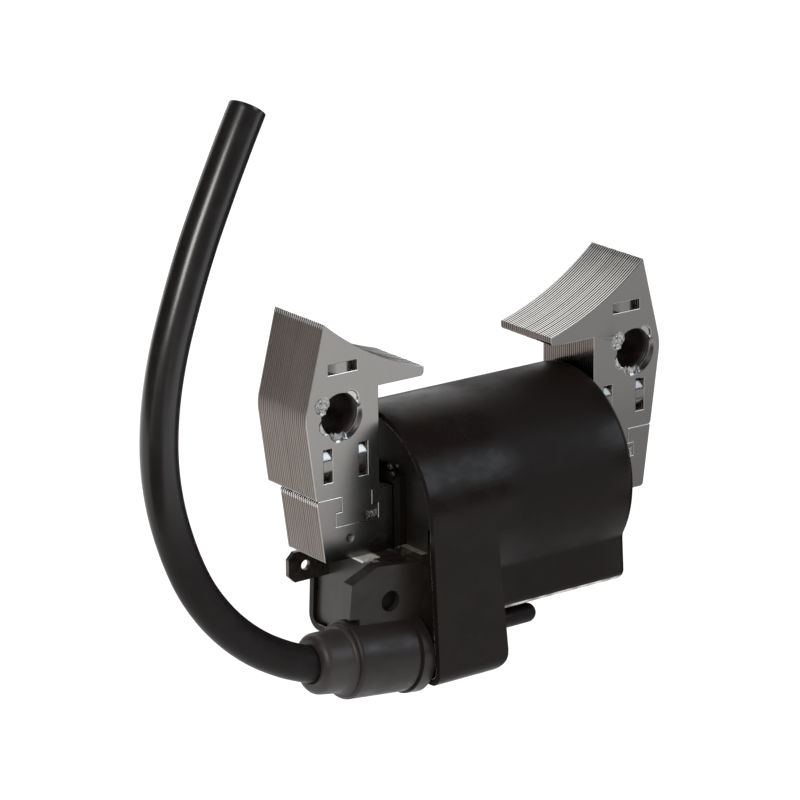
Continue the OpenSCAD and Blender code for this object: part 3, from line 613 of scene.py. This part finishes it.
# %% Cut a collar round a mounting hole
HOLE_R = 3.3
COLLAR_R = 4.95
COLLAR_RINGS = 26
SCAR_X, SCAR_Z = (3.9, 6.4), (-16.85, -15.4)    # on the left foot, from the hole's middle
RIGHT_SCAR = -6.6          # the right foot has it this much further left


def scar_middle(side, hole_x):
    """Where the scar is measured from, on a leg."""
    return hole_x if side == "left" else hole_x + RIGHT_SCAR


def radius_from(vert, hole_x):
    """How far a vertex is from a mounting hole's axis."""
    return math.hypot(vert.co.x - hole_x, vert.co.z)


def on_front(vert):
    """Whether a vertex lies in the front sheet's flat face."""
    return abs(vert.co.y - FRONT_FACE) < 0.004


def add_collar(bm, hole_x):
    """Grows rings of small quads from the rim of the hole, in the front plane."""
    def hole_rim():
        return [e for e in bm.edges if e.is_boundary
                and all(on_front(v) and radius_from(v, hole_x) < HOLE_R + 0.2 for v in e.verts)]
    bmesh.ops.subdivide_edges(bm, edges=hole_rim(), cuts=2)
    ring = hole_rim()
    start = HOLE_R + CHAMFER
    for i in range(COLLAR_RINGS):
        ring, verts = extrude_ring(bm, ring)
        target = start + (COLLAR_R - start) * (i + 1) / COLLAR_RINGS
        for v in verts:
            grow = target / radius_from(v, hole_x)
            v.co.x, v.co.z = hole_x + (v.co.x - hole_x) * grow, v.co.z * grow
    print("collar quads:", len(ring) * COLLAR_RINGS)


def add_patch(bm, from_x):
    """A grid of small quads on the foot, which the front face is filled round."""
    made = bmesh.ops.create_grid(bm, x_segments=22, y_segments=20, size=0.5)["verts"]
    for v in made:
        v.co = Vector((from_x + SCAR_X[0] + (v.co.x + 0.5) * (SCAR_X[1] - SCAR_X[0]), FRONT_FACE,
                       SCAR_Z[0] + (v.co.y + 0.5) * (SCAR_Z[1] - SCAR_Z[0])))


print(f"collar: {COLLAR_RINGS} rings, {(COLLAR_R - HOLE_R) / COLLAR_RINGS:.3f} mm each")

# %% [markdown]
# A stake mark is a round dent that overlaps the hole. Its floor is rough, its far wall is steep
# and bright, and some of its metal bulges into the hole with a torn burr. Each mark is a disc
# with numbers for these, and a vertex adds up what each disc does to it. Between the marks, one
# long part of the rim is rolled in.

# %% Dent the collar
STAKES = (   # angle, distance from the hole's middle, radius, depth, roughness, bulge, burr
    (149, 3.62, 1.38, 0.10, 0.13, 0.78, 0.2),
    (47, 2.85, 1.40, 0.30, 0.00, -0.10, 0.0),
    (262, 2.55, 1.62, 0.22, 0.06, 0.42, 2.0),
    (208, 2.75, 1.40, 0.12, 0.02, 0.0, 0.0),
)
ROLLED_IN = (-32, 52, 0.9, 0.5)    # middle angle, half its spread, width, depth
STAKE_WALL = 0.28          # how wide the wall of a dent is
STAKE_FLOOR = 0.42         # no dent goes deeper, so that the front sheet stays whole
BULGE_WIDTH = 1.0          # how far from the hole its metal is pulled in


def smooth_step(x):
    """0 up to 0, 1 from 1 on, and smooth between them."""
    x = min(max(x, 0), 1)
    return x * x * (3 - 2 * x)


def dent(moved, finish=STRUCK):
    """Gives the faces that a punch has touched their finish."""
    for f in {f for v in moved for f in v.link_faces}:
        if f.normal.y < -0.2 or len(set(f.verts) & moved) > 2:
            f.material_index = finish


def stake(bm, hole_x):
    """Dents the front sheet round the hole."""
    moved, bright = set(), set()
    near = [v for v in bm.verts if v.co.y < FRONT_FACE + 0.09
            and radius_from(v, hole_x) < COLLAR_R - 0.02]
    for v in near:
        x, z = v.co.x - hole_x, v.co.z
        r = math.hypot(x, z)
        middle, spread, width, depth = ROLLED_IN
        turn = (math.degrees(math.atan2(z, x)) - middle + 180) % 360 - 180
        fade = smooth_step((spread - abs(turn)) / 15)
        v.co.y += depth * fade * smooth_step((HOLE_R + width - r) / width)
        for angle, far, size, depth, rough, bulge, burr in STAKES:
            a = math.radians(angle)
            off = math.hypot(x - far * math.cos(a), z - far * math.sin(a))
            inside = smooth_step((size - off) / STAKE_WALL)
            if not inside:
                continue
            grit = noise.noise(Vector((x * 2.6, angle, z * 2.6)))
            fine = noise.noise(Vector((x * 7, angle + 5, z * 7)))
            dip = inside * max(depth + rough * (grit + 0.3 * fine), 0)
            v.co.y += min(dip, STAKE_FLOOR)
            at_edge = smooth_step((HOLE_R + BULGE_WIDTH - r) / BULGE_WIDTH)
            teeth = max(0.2, 1 + burr * noise.noise(Vector((math.atan2(z, x) * 9, angle, 0))))
            pull = inside * at_edge * bulge * teeth
            v.co.x -= pull * x / r
            v.co.z -= pull * z / r
            (bright if bulge < 0 else moved).add(v)
    dent(moved)
    dent(bright, BRIGHT)
    print("staked vertices:", len(moved) + len(bright))


print("stake marks at", [angle for angle, *_ in STAKES], "degrees")

# %% [markdown]
# Where the foot was staked into the bar, its face is only scratched and pitted. Noise that is
# stretched along a diagonal moves the patch's vertices, and its high spots get bright metal.

# %% Scratch the foot
SCRATCHED = 0.12           # the level of the noise above which the metal shines


def scar_foot(bm, from_x):
    """Scratches the patch on a foot, most in its middle."""
    moved = set()
    for v in bm.verts:
        across = (v.co.x - from_x - SCAR_X[0]) / (SCAR_X[1] - SCAR_X[0])
        up = (v.co.z - SCAR_Z[0]) / (SCAR_Z[1] - SCAR_Z[0])
        if not on_front(v) or not (0.01 < across < 0.99 and 0.01 < up < 0.99):
            continue
        inside = smooth_step(min(across * 2.2, (1 - across) * 8, (1 - up) * 3, up * 8))
        along, aside = v.co.x + v.co.z, v.co.z - v.co.x
        grit = noise.noise(Vector((along * 4, 3, aside * 1.6)))
        fine = noise.noise(Vector((along * 9, 9, aside * 6)))
        v.co.y += max(inside * (0.05 + 0.07 * grit + 0.06 * fine), 0)
        if inside > 0.35 and grit + fine > SCRATCHED:
            moved.add(v)
    dent(moved, BRIGHT)
    print("scratched vertices:", len(moved))


print(f"patch: {SCAR_X[1] - SCAR_X[0]:.2f} x {SCAR_Z[1] - SCAR_Z[0]:.2f} mm")

# %% [markdown]
# No two sheets line up exactly, which is what makes the pole faces look ribbed. Moving each
# sheet a few hundredths of a millimetre, from seeded random numbers, gives that for free. Then
# each face gets the finish of the place where it lies.

# %% Finish a stack of sheets
LEG_INNER = 20.15
CASE_MIDDLE = -0.5
FLYWHEEL = Vector((CASE_MIDDLE, 0, 48.45))
POLE_R = 45.4
stagger = random.Random(7)
SHIFTS = [(stagger.uniform(-0.015, 0.015), stagger.uniform(-0.03, 0.03)) for _ in range(SHEETS)]


def stagger_sheets(bm, amount):
    """Moves each sheet by its own share; the bar's sheets lie the other way."""
    for v in bm.verts:
        dx, dz = SHIFTS[min(sheet_side(v.co.y)[0], SHEETS - 1)]
        v.co.x += dx * amount
        v.co.z += dz * amount


def finish_edges(bm, hole_x=None):
    """Face, bolt hole, corner, pole face, inner or outer sheared edge, by where a face lies."""
    for f in bm.faces:
        middle = f.calc_center_median()
        from_axis = math.hypot(middle.x - FLYWHEEL.x, middle.z - FLYWHEEL.z)
        in_hole = hole_x is not None and math.hypot(middle.x - hole_x, middle.z) < HOLE_R + 0.06
        if abs(f.normal.y) > 0.9:
            f.material_index = FACE
        elif in_hole:
            f.material_index = BORE
        elif f.normal.y < -0.5 and middle.y < FRONT_FACE + 0.1:
            f.material_index = CORNER
        elif abs(from_axis - POLE_R) < 0.12:
            f.material_index = POLE
        else:
            f.material_index = INNER if abs(middle.x - CASE_MIDDLE) < LEG_INNER + 0.1 else EDGE


for side, hole_x in (("left", -27.5), ("right", 27.5)):
    bm = copy_of(side + "_leg_laminations")
    chamfer_sheets(bm)
    add_collar(bm, hole_x)
    add_patch(bm, scar_middle(side, hole_x))
    close_sheets(bm)
    finish_edges(bm, hole_x)
    stake(bm, hole_x)
    scar_foot(bm, scar_middle(side, hole_x))
    stagger_sheets(bm, 1)
    piece_from(side + "_leg", bm, STEELS, [side + "_leg_laminations"], smooth=20)

# %% [markdown]
# A lance in each slot locks the sheets of a leg together: a strip of sheet cut free on two sides
# and pressed out, with a flat middle and ends that dive into the stack. A grid of quads takes
# that shape when each row sinks by its distance from the flat part. Solidify makes it a sheet.

# %% Add the locking strips
LOCK_W, LOCK_L = 1.56, 5.05
LOCK_THICK = 0.45
LOCK_SUNK, LOCK_SAG = 0.06, 1.05    # how deep its middle and its ends lie
LOCK_FLAT = 0.3            # the flat share of its length
SLOTS = ((6.3, 7.1, 0), (2.8, -7.4, 90), (9.1, -7.4, 90))    # from the leg's inner edge


def locking_strip(bm, x, z, turn):
    """One strip, whose long side runs along X before its turn in degrees."""
    made = bmesh.ops.create_grid(bm, x_segments=22, y_segments=2, size=0.5)["verts"]
    for v in made:
        along, across = v.co.x * 2, v.co.y
        dip = max(abs(along) - LOCK_FLAT, 0) / (1 - LOCK_FLAT)
        v.co = Vector((along * LOCK_L / 2, LOCK_SUNK + LOCK_SAG * dip ** 1.2, across * LOCK_W))
    turn_about(bm, made, "Y", turn)
    bmesh.ops.translate(bm, verts=made, vec=(x, STACK_FRONT, z))
    faces = list({f for v in made for f in v.link_faces})
    for f in faces:
        if f.normal.y > 0:
            f.normal_flip()
    bmesh.ops.solidify(bm, geom=faces, thickness=LOCK_THICK)


for side, sign in (("left", -1), ("right", 1)):
    bm = bmesh.new()
    for x, z, turn in SLOTS:
        locking_strip(bm, CASE_MIDDLE + sign * (LEG_INNER + x), z, turn)
    piece_from(side + "_leg_locks", bm, [steel_face])

# %% [markdown]
# ## The bar
# The bar's sheets have a seat at each end for a leg's dovetail foot, and a small stamped dimple.
# In the CAD model the dimple is a plain hole. Here a shallow dish closes it, made of rings that
# shrink towards the middle as they sink.

# %% Build the bar
DIMPLE_R = 0.65
DIMPLE_X, DIMPLE_Z = 25.5, -19.175
DIMPLE_REACH = 0.7         # takes in the whole wall of the hole
DIMPLE_FLAT, DIMPLE_DISH = DIMPLE_R + 0.25, DIMPLE_R + 0.1    # where its margin and its dish end
DIMPLE_DEPTH, DIMPLE_RINGS = 0.06, 8


def remove_hole(bm, x, z):
    """Takes a dimple's straight wall out of every sheet."""
    wall = [f for f in bm.faces
            if math.hypot(f.calc_center_median().x - x,
                          f.calc_center_median().z - z) < DIMPLE_REACH]
    bmesh.ops.delete(bm, geom=wall, context="FACES")


def dimple(bm, x, z):
    """A dish with a flat margin, whose rim the front face is filled round."""
    made = bmesh.ops.create_circle(bm, cap_ends=False, segments=32, radius=DIMPLE_FLAT)["verts"]
    ring = list({e for v in made for e in v.link_edges})
    turn_about(bm, made, "X", 90)
    bmesh.ops.translate(bm, verts=made, vec=(x, FRONT_FACE, z))
    radius = DIMPLE_FLAT
    for i in range(DIMPLE_RINGS + 1):
        ring, verts = extrude_ring(bm, ring)
        wanted = DIMPLE_DISH * (1 - i / (DIMPLE_RINGS + 1))
        for v in verts:
            v.co = Vector((x + (v.co.x - x) * wanted / radius,
                           FRONT_FACE + DIMPLE_DEPTH * smooth_step(i / DIMPLE_RINGS * 1.4),
                           z + (v.co.z - z) * wanted / radius))
        radius = wanted
    bmesh.ops.contextual_create(bm, geom=ring)


bm = copy_of("core_bar_laminations")
chamfer_sheets(bm)
for x in (-DIMPLE_X, DIMPLE_X):
    remove_hole(bm, CASE_MIDDLE + x, DIMPLE_Z)
    dimple(bm, CASE_MIDDLE + x, DIMPLE_Z)
close_sheets(bm)
finish_edges(bm)
stagger_sheets(bm, -1)
piece_from("core_bar", bm, STEELS, ["core_bar_laminations"], smooth=20)

# %% [markdown]
# ## The case
# The case is one moulding: a round body with a flat base, a square pocket for the electronics
# and a locating peg. Its closed end has a large radius, its other edges a small one. A bevel that
# wide would run into the body's long facets, so rings are cut round the closed end and drawn in
# to an arc. The small radius comes next, everywhere else. Last, faces get another finish: a
# painted highlight on the rim and the lower edge, and resin where it ran over the pocket's back.

# %% Build the case
CASE_RIM, CASE_END = (corner[0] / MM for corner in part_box("coil_case"))
END_RADIUS = 1.2
END_STEPS = 6
CASE_AXIS = Vector((0, -1.5, -17.4))
RIM_WIDTH = 0.2            # how far in from the open end a face still belongs to the rim
HIGHLIGHT_BEFORE = 2.0        # the rim gets its painted highlight only on its front half, up to this depth, and behind it is smeared with resin, below this height the base's lower front edge gets the painted highlight too, right of the pocket, but not the peg, which lies lower
SMEARED_BELOW = -24.0      # and behind it smeared with resin, below this height
SILL_FROM = -6.4           # the base's lower front edge is rubbed too, right of the pocket,
SILL_LOW = -33.0           # but not the peg, which lies lower


def round_end(bm, radius, steps):
    """Rounds the closed end: rings are cut into the outer walls and drawn in to an arc."""
    for i in range(steps):
        x = CASE_END - radius + radius * math.sin(math.pi / 2 * i / steps)
        bmesh.ops.bisect_plane(bm, geom=bm.verts[:] + bm.edges[:] + bm.faces[:], dist=1e-4,
                               plane_co=(x, 0, 0), plane_no=(1, 0, 0))
    bm.normal_update()
    moves = {}
    for v in bm.verts:
        past = v.co.x - (CASE_END - radius)
        walls = [f.normal for f in v.link_faces if abs(f.normal.x) < 0.5]
        if past < 1e-4 or not walls:
            continue
        outward = sum(walls, Vector()).normalized()
        if outward.dot(v.co - CASE_AXIS) > 0 and (v.co - CASE_AXIS).yz.length > 8:
            moves[v] = outward * (math.sqrt(max(radius ** 2 - past ** 2, 0)) - radius)
    for v, move in moves.items():
        v.co += move
    print("rounded end:", len(moves), "vertices")


bm = copy_of("coil_case")
round_end(bm, END_RADIUS, END_STEPS)
bevel(bm, 0.16, sharper_than=40)
for f in bm.faces:
    middle, normal = f.calc_center_median(), f.normal
    on_rim = middle.x < CASE_RIM + RIM_WIDTH
    inward = normal.yz.dot((CASE_AXIS - middle).yz) > 0
    # rubbed and sill pick the faces that get a painted highlight: the rim's inner edge and the
    # base's lower front edge
    rubbed = on_rim and inward and -0.95 < normal.x < -0.2 and middle.y < HIGHLIGHT_BEFORE
    facing_low = normal.y < -0.25 and -0.95 < normal.z < -0.5 and abs(normal.x) < 0.3
    sill_highlight = facing_low and middle.x > SILL_FROM and middle.z > SILL_LOW
    if rubbed or sill_highlight:
        f.material_index = 1
    elif on_rim and middle.y > HIGHLIGHT_BEFORE and middle.z < SMEARED_BELOW:
        f.material_index = 2
piece_from("case", bm, [case_black, painted_edge_highlight, resin], ["coil_case"],
           weighted=True)

# %% [markdown]
# ## The resin
# The case is filled through its open end, once the windings are in. The resin shrinks as it sets,
# so its ledge under the bobbin lies lower than the fill line, and some drops have set beside the
# bobbin. The ledge's vertices are simply lowered, and a drop is a sphere half sunk in the face.

# %% Pour the potting
LEDGE_LOW, LEDGE_HIGH = -21.5, -18.5    # the ledge is found between these heights
LEDGE_DROP = 1.2
BEADS = (    # x, y, z and radius of each drop
    (-18.5, -6.3, -9.6, 0.55), (-18.5, -6.8, -10.6, 0.45), (-18.5, -7.9, -9.1, 0.35),
    (-18.5, -8.1, -21.7, 0.3))

bm = copy_of("potting_compound")
ledge = [f for f in bm.faces
         if f.normal.z > 0.99 and LEDGE_LOW < f.calc_center_median().z < LEDGE_HIGH]
for v in {v for f in ledge for v in f.verts}:
    v.co.z -= LEDGE_DROP
# the ledge's top gets painted light, a pale copy of the resin
for f in ledge:
    f.material_index = 1
bevel(bm, 0.12, sharper_than=35)
print("ledge faces:", len(ledge))
for x, y, z, radius in BEADS:
    made = bmesh.ops.create_icosphere(bm, subdivisions=3, radius=radius)["verts"]
    bmesh.ops.translate(bm, verts=made, vec=(x, y, z))
piece_from("potting", bm, [resin, painted_lit_ledge], ["potting_compound"],
           weighted=True)

# %% [markdown]
# ## The lead holder, its boot and the small metal parts
# These are moulded or stamped shapes whose CAD solids are already right. They only need their
# edges rounded, each as much as its material would be: nylon more than tin. A film of resin has
# crept over the web's outer edge. A short dark rod in the web's hole is painted shade: it stands
# for the dark inside of the hole.

# %% Soften the small parts
FILM_ABOVE = -29.5         # the film starts at this height
WEB_HOLE = Vector((-23.86, -11.8, -27.49))    # the middle of the dark plug in the web's hole
WEB_HOLE_R, WEB_HOLE_DEEP = 1.61, 0.6

for node, name, width, finish, slot in (
        ("lead_holder", "lead_holder_piece", 0.32, holder_black, "holder_plastic"),
        ("lead_boot", "boot", 0.1, boot_black, "boot_rubber"),
        ("primary_bobbin", "bobbin", 0.12, snout_black, "bobbin_plastic"),
        ("kill_terminal", "spade", 0.08, dull_tin, "tinned_metal"),
        ("ground_strap", "strap", 0.07, bright_tin, "tinned_metal")):
    bm = copy_of(node)
    bevel(bm, width, sharper_than=35)
    finishes = [finish]
    if node == "lead_holder":
        finishes.append(resin)
        for f in bm.faces:
            f.material_index = int(f.normal.x < -0.3 and f.calc_center_median().z > FILM_ABOVE)
    piece_from(name, bm, finishes, [node], weighted=True)

# a dark plug in the web's hole, as painted shade
bm = bmesh.new()
made = bmesh.ops.create_cone(bm, cap_ends=True, segments=40, radius1=WEB_HOLE_R,
                             radius2=WEB_HOLE_R, depth=WEB_HOLE_DEEP)["verts"]
turn_about(bm, made, "X", 90)
bmesh.ops.translate(bm, verts=made, vec=WEB_HOLE)
bevel(bm, 0.08)
piece_from("web_hole_shade_plug", bm, [snout_black])

# %% [markdown]
# ## The lead
# A cable is a tube swept along its route. A curve with a bevel would do, but a mesh tube can
# have a wall, a square-cut end and a pattern that follows it. One ring of edges is extruded from
# station to station, and each new ring is turned to face along the route.

# %% Sweep a tube along the route
def stations(line):
    """A matrix at each point of a line, with Z along it and as little twist as can be."""
    z = (line[1] - line[0]).normalized()
    x = z.orthogonal().normalized()
    placed = []
    for i, point in enumerate(line):
        ahead = line[min(i + 1, len(line) - 1)] - line[max(i - 1, 0)]
        turn = z.rotation_difference(ahead.normalized())
        z, x = ahead.normalized(), (turn @ x).normalized()
        placed.append(Matrix.Translation(point) @ Matrix((x, z.cross(x), z)).transposed().to_4x4())
    return placed


def sweep(bm, places, radius, sides, aside=Vector((0, 0, 0))):
    """A tube of one radius through the places; returns its first and last ring of edges."""
    verts = bmesh.ops.create_circle(bm, segments=sides, radius=radius)["verts"]
    bmesh.ops.transform(bm, verts=verts, matrix=places[0] @ Matrix.Translation(aside))
    first = ring = list({e for v in verts for e in v.link_edges})
    for before, after in zip(places, places[1:]):
        ring, verts = extrude_ring(bm, ring)
        bmesh.ops.transform(bm, verts=list(verts), matrix=after @ before.inverted())
    return first, ring


def walled_tube(bm, places, outside, bore, sides):
    """A tube with a wall, closed at both ends."""
    for a, b in zip(sweep(bm, places, outside, sides), sweep(bm, places, bore, sides)):
        bmesh.ops.bridge_loops(bm, edges=a + b)
    bmesh.ops.recalc_face_normals(bm, faces=bm.faces)


IN_HOLDER = 17.4           # where the lead starts, on the holder's axis
places = stations([on_axis(IN_HOLDER)] + route)
print("stations:", len(places))

# %% [markdown]
# The jacket and the insulation have a wall each, so both are an outer and an inner tube whose
# ends are bridged. The conductor is seven strands, one in the middle and six round it.

# %% Build the lead
JACKET_BORE = 2.1
CORE_SLIP = 0.02           # keeps the insulation just clear of the jacket
CORE_BORE = 0.82
STRAND_R = 0.25
STRAND_AWAY = 2.02 * STRAND_R    # from the middle strand to the six round it

bm = bmesh.new()
walled_tube(bm, places, LEAD_R, JACKET_BORE, 56)
bevel(bm, 0.12, sharper_than=50)
jacket = piece_from("lead", bm, [jacket_black], ["lead_jacket"])

bm = bmesh.new()
walled_tube(bm, places, JACKET_BORE - CORE_SLIP, CORE_BORE, 40)
insulation = piece_from("lead_core", bm, [lead_white], ["lead_insulation"])

bm = bmesh.new()
for k in range(7):
    away = STRAND_AWAY if k else 0
    angle = k * math.pi / 3
    first, last = sweep(bm, places, STRAND_R, 10,
                        Vector((away * math.cos(angle), away * math.sin(angle), 0)))
    bmesh.ops.contextual_create(bm, geom=first)
    bmesh.ops.contextual_create(bm, geom=last)
bmesh.ops.recalc_face_normals(bm, faces=bm.faces)
strands = piece_from("lead_strands", bm, [bare_copper], ["lead_conductor"])

[[c * MM for c in p] for p in route]

# %% [markdown]
# ## The pieces sealed inside
# The windings, the board and its parts stay as the CAD has them: nothing shows of them until
# the coil is cut open. They get their finishes through their object's material slots.

# %% Finish the hidden nodes
INSIDE = {
    "primary_winding": wound_copper, "secondary_winding": wound_copper,
    "insulating_sleeve": paper, "secondary_bobbin": snout_black,
    "primary_lead_wires": bare_copper, "high_tension_link": bare_copper,
    "circuit_board": board_green, "power_transistor": chip_black, "control_chip": chip_black,
    "chip_resistors": chip_black, "chip_capacitors": ceramic, "protection_diode": chip_black,
    "contact_spike": brass,
}
for node, finish in INSIDE.items():
    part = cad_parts[node]
    for slot in part.material_slots:
        slot.link = "OBJECT"
        slot.material = finish
print("hidden nodes finished:", len(INSIDE))

# %% [markdown]
# ## The studio
# Black and glossy things show the room more than themselves. Area lamps would do, but their light
# falls off with distance, so two soft suns light the coil evenly here. A sun's angle sets how
# soft its shadow is, and how wide its glint.

# %% Hang the suns
def sun(name, toward, colour, level, angle):
    """A soft lamp far away in a direction; a white paper that faces it renders at level."""
    lamp = bpy.data.lights.new(name, "SUN")
    lamp.color = colour
    lamp.energy = level * math.pi
    lamp.angle = math.radians(angle)
    holder = bpy.data.objects.new(name, lamp)
    holder.matrix_world = Vector(toward).to_track_quat("Z", "Y").to_matrix().to_4x4()
    scene.collection.objects.link(holder)
    print(f"{name}: {lamp.energy:.2f} W/m2, {angle} degrees wide")


sun("front sun", (0.56, -0.64, 0.52), (0.80, 0.90, 1.0), 0.25, 28)
sun("side sun", (-0.69, -0.40, 0.60), (1.0, 0.98, 0.95), 0.38, 18)

# %% [markdown]
# The sky fills in the rest. The background is white because the camera sees the sky at a strength
# of 1. In a studio, black cards hang where a reflection should be dark. Here they are zones of the
# sky that only glossy rays see, each one a cone with a soft edge, and one zone is lighter.

# %% Paint the sky
class Sky(Finish):
    """The world's own node tree, with the Background node as its shader."""

    def __init__(self, name):
        self.world = bpy.data.worlds.new(name)
        self.world.use_nodes = True
        self.tree = self.world.node_tree
        self.shader = self.tree.nodes["Background"]


def ray(finish, kind):
    """1 for one kind of ray, and 0 for all others."""
    return finish.node("ShaderNodeLightPath", out=f"Is {kind} Ray")


def seen(finish):
    """1 for a ray that shows the background: to the camera, or off metal or through glass."""
    return ray(finish, "Camera") | ray(finish, "Glossy") | ray(finish, "Transmission")


def zone(way, edge, full):
    """1 in the sky near a direction, with its edge between the cosines edge and full."""
    cosine = sky.node("ShaderNodeVectorMath", {"operation": "DOT_PRODUCT"},
                      {0: toward, 1: Vector(way).normalized()}, "Value")
    return cosine.ramp(edge, full)


AMBIENT = 0.70
sky = Sky("studio")
scene.world = sky.world
toward = sky.node("ShaderNodeTexCoord", out="Generated")
dark = (zone((0.4, -0.5, 0.77), 0.35, 0.75)          # the upper front of the case reflects it
        | zone((-0.75, 0.57, 0.35), 0.6, 0.85)       # the left side of the lead's upper half
        | zone((-0.72, -0.69, 0.0), 0.80, 0.93) * 0.8)    # the middle of its lower half
light = zone((0.25, 0.70, 0.66), 0.80, 0.95) * 0.3   # the pole faces and the case's top
sky.set({"Color": (1, 1, 1, 1),
         "Strength": AMBIENT + seen(sky) * (1 - AMBIENT) - ray(sky, "Glossy") * (dark - light)})
print("sky nodes:", len(sky.tree.nodes))

# %% [markdown]
# The floor is one wide sheet of pale paper, a hand's width below the coil, so the coil's shadow on
# it stays out of the way and it lights the coil from below. Two zones of it are dark for glossy
# rays, because the legs' faces and left edges reflect it there. A little emission, for the rays
# that show the background, makes it as white as the sky.

# %% Lay the floor
FLOOR_DROP = 0.12          # metres below the coil's lowest point
FLOOR_FILL = 0.31
PAPER, CARD = (0.8, 0.8, 0.8), (0.03, 0.03, 0.03)
bm = bmesh.new()
bmesh.ops.create_grid(bm, x_segments=1, y_segments=1, size=6)
bmesh.ops.translate(bm, verts=bm.verts, vec=(0, 0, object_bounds()[0].z - FLOOR_DROP))
mesh = bpy.data.meshes.new("floor")
bm.to_mesh(mesh)
bm.free()
floor_paper = Finish("floor paper", PAPER, 0.9)
across, away = floor_paper.axis("X"), floor_paper.axis("Y")
cards = across.ramp(150, 230) * away.ramp(-320, -260)
cards = cards + (1 - across.ramp(-330, -260)) * (1 - away.ramp(20, 120))
dark = cards * ray(floor_paper, "Glossy")
floor_paper.set({
    "Specular IOR Level": 0.0, "Emission Strength": 1.0,
    "Base Color": floor_paper.blend(dark, PAPER, CARD),
    "Emission Color": floor_paper.blend(seen(floor_paper) - dark, (0.0, 0.0, 0.0),
                                        (FLOOR_FILL,) * 3)})
mesh.materials.append(floor_paper.material)
floor = bpy.data.objects.new("floor", mesh)
scene.collection.objects.link(floor)
print("floor at", round(mesh.vertices[0].co.z / MM, 1), "mm")

# %% [markdown]
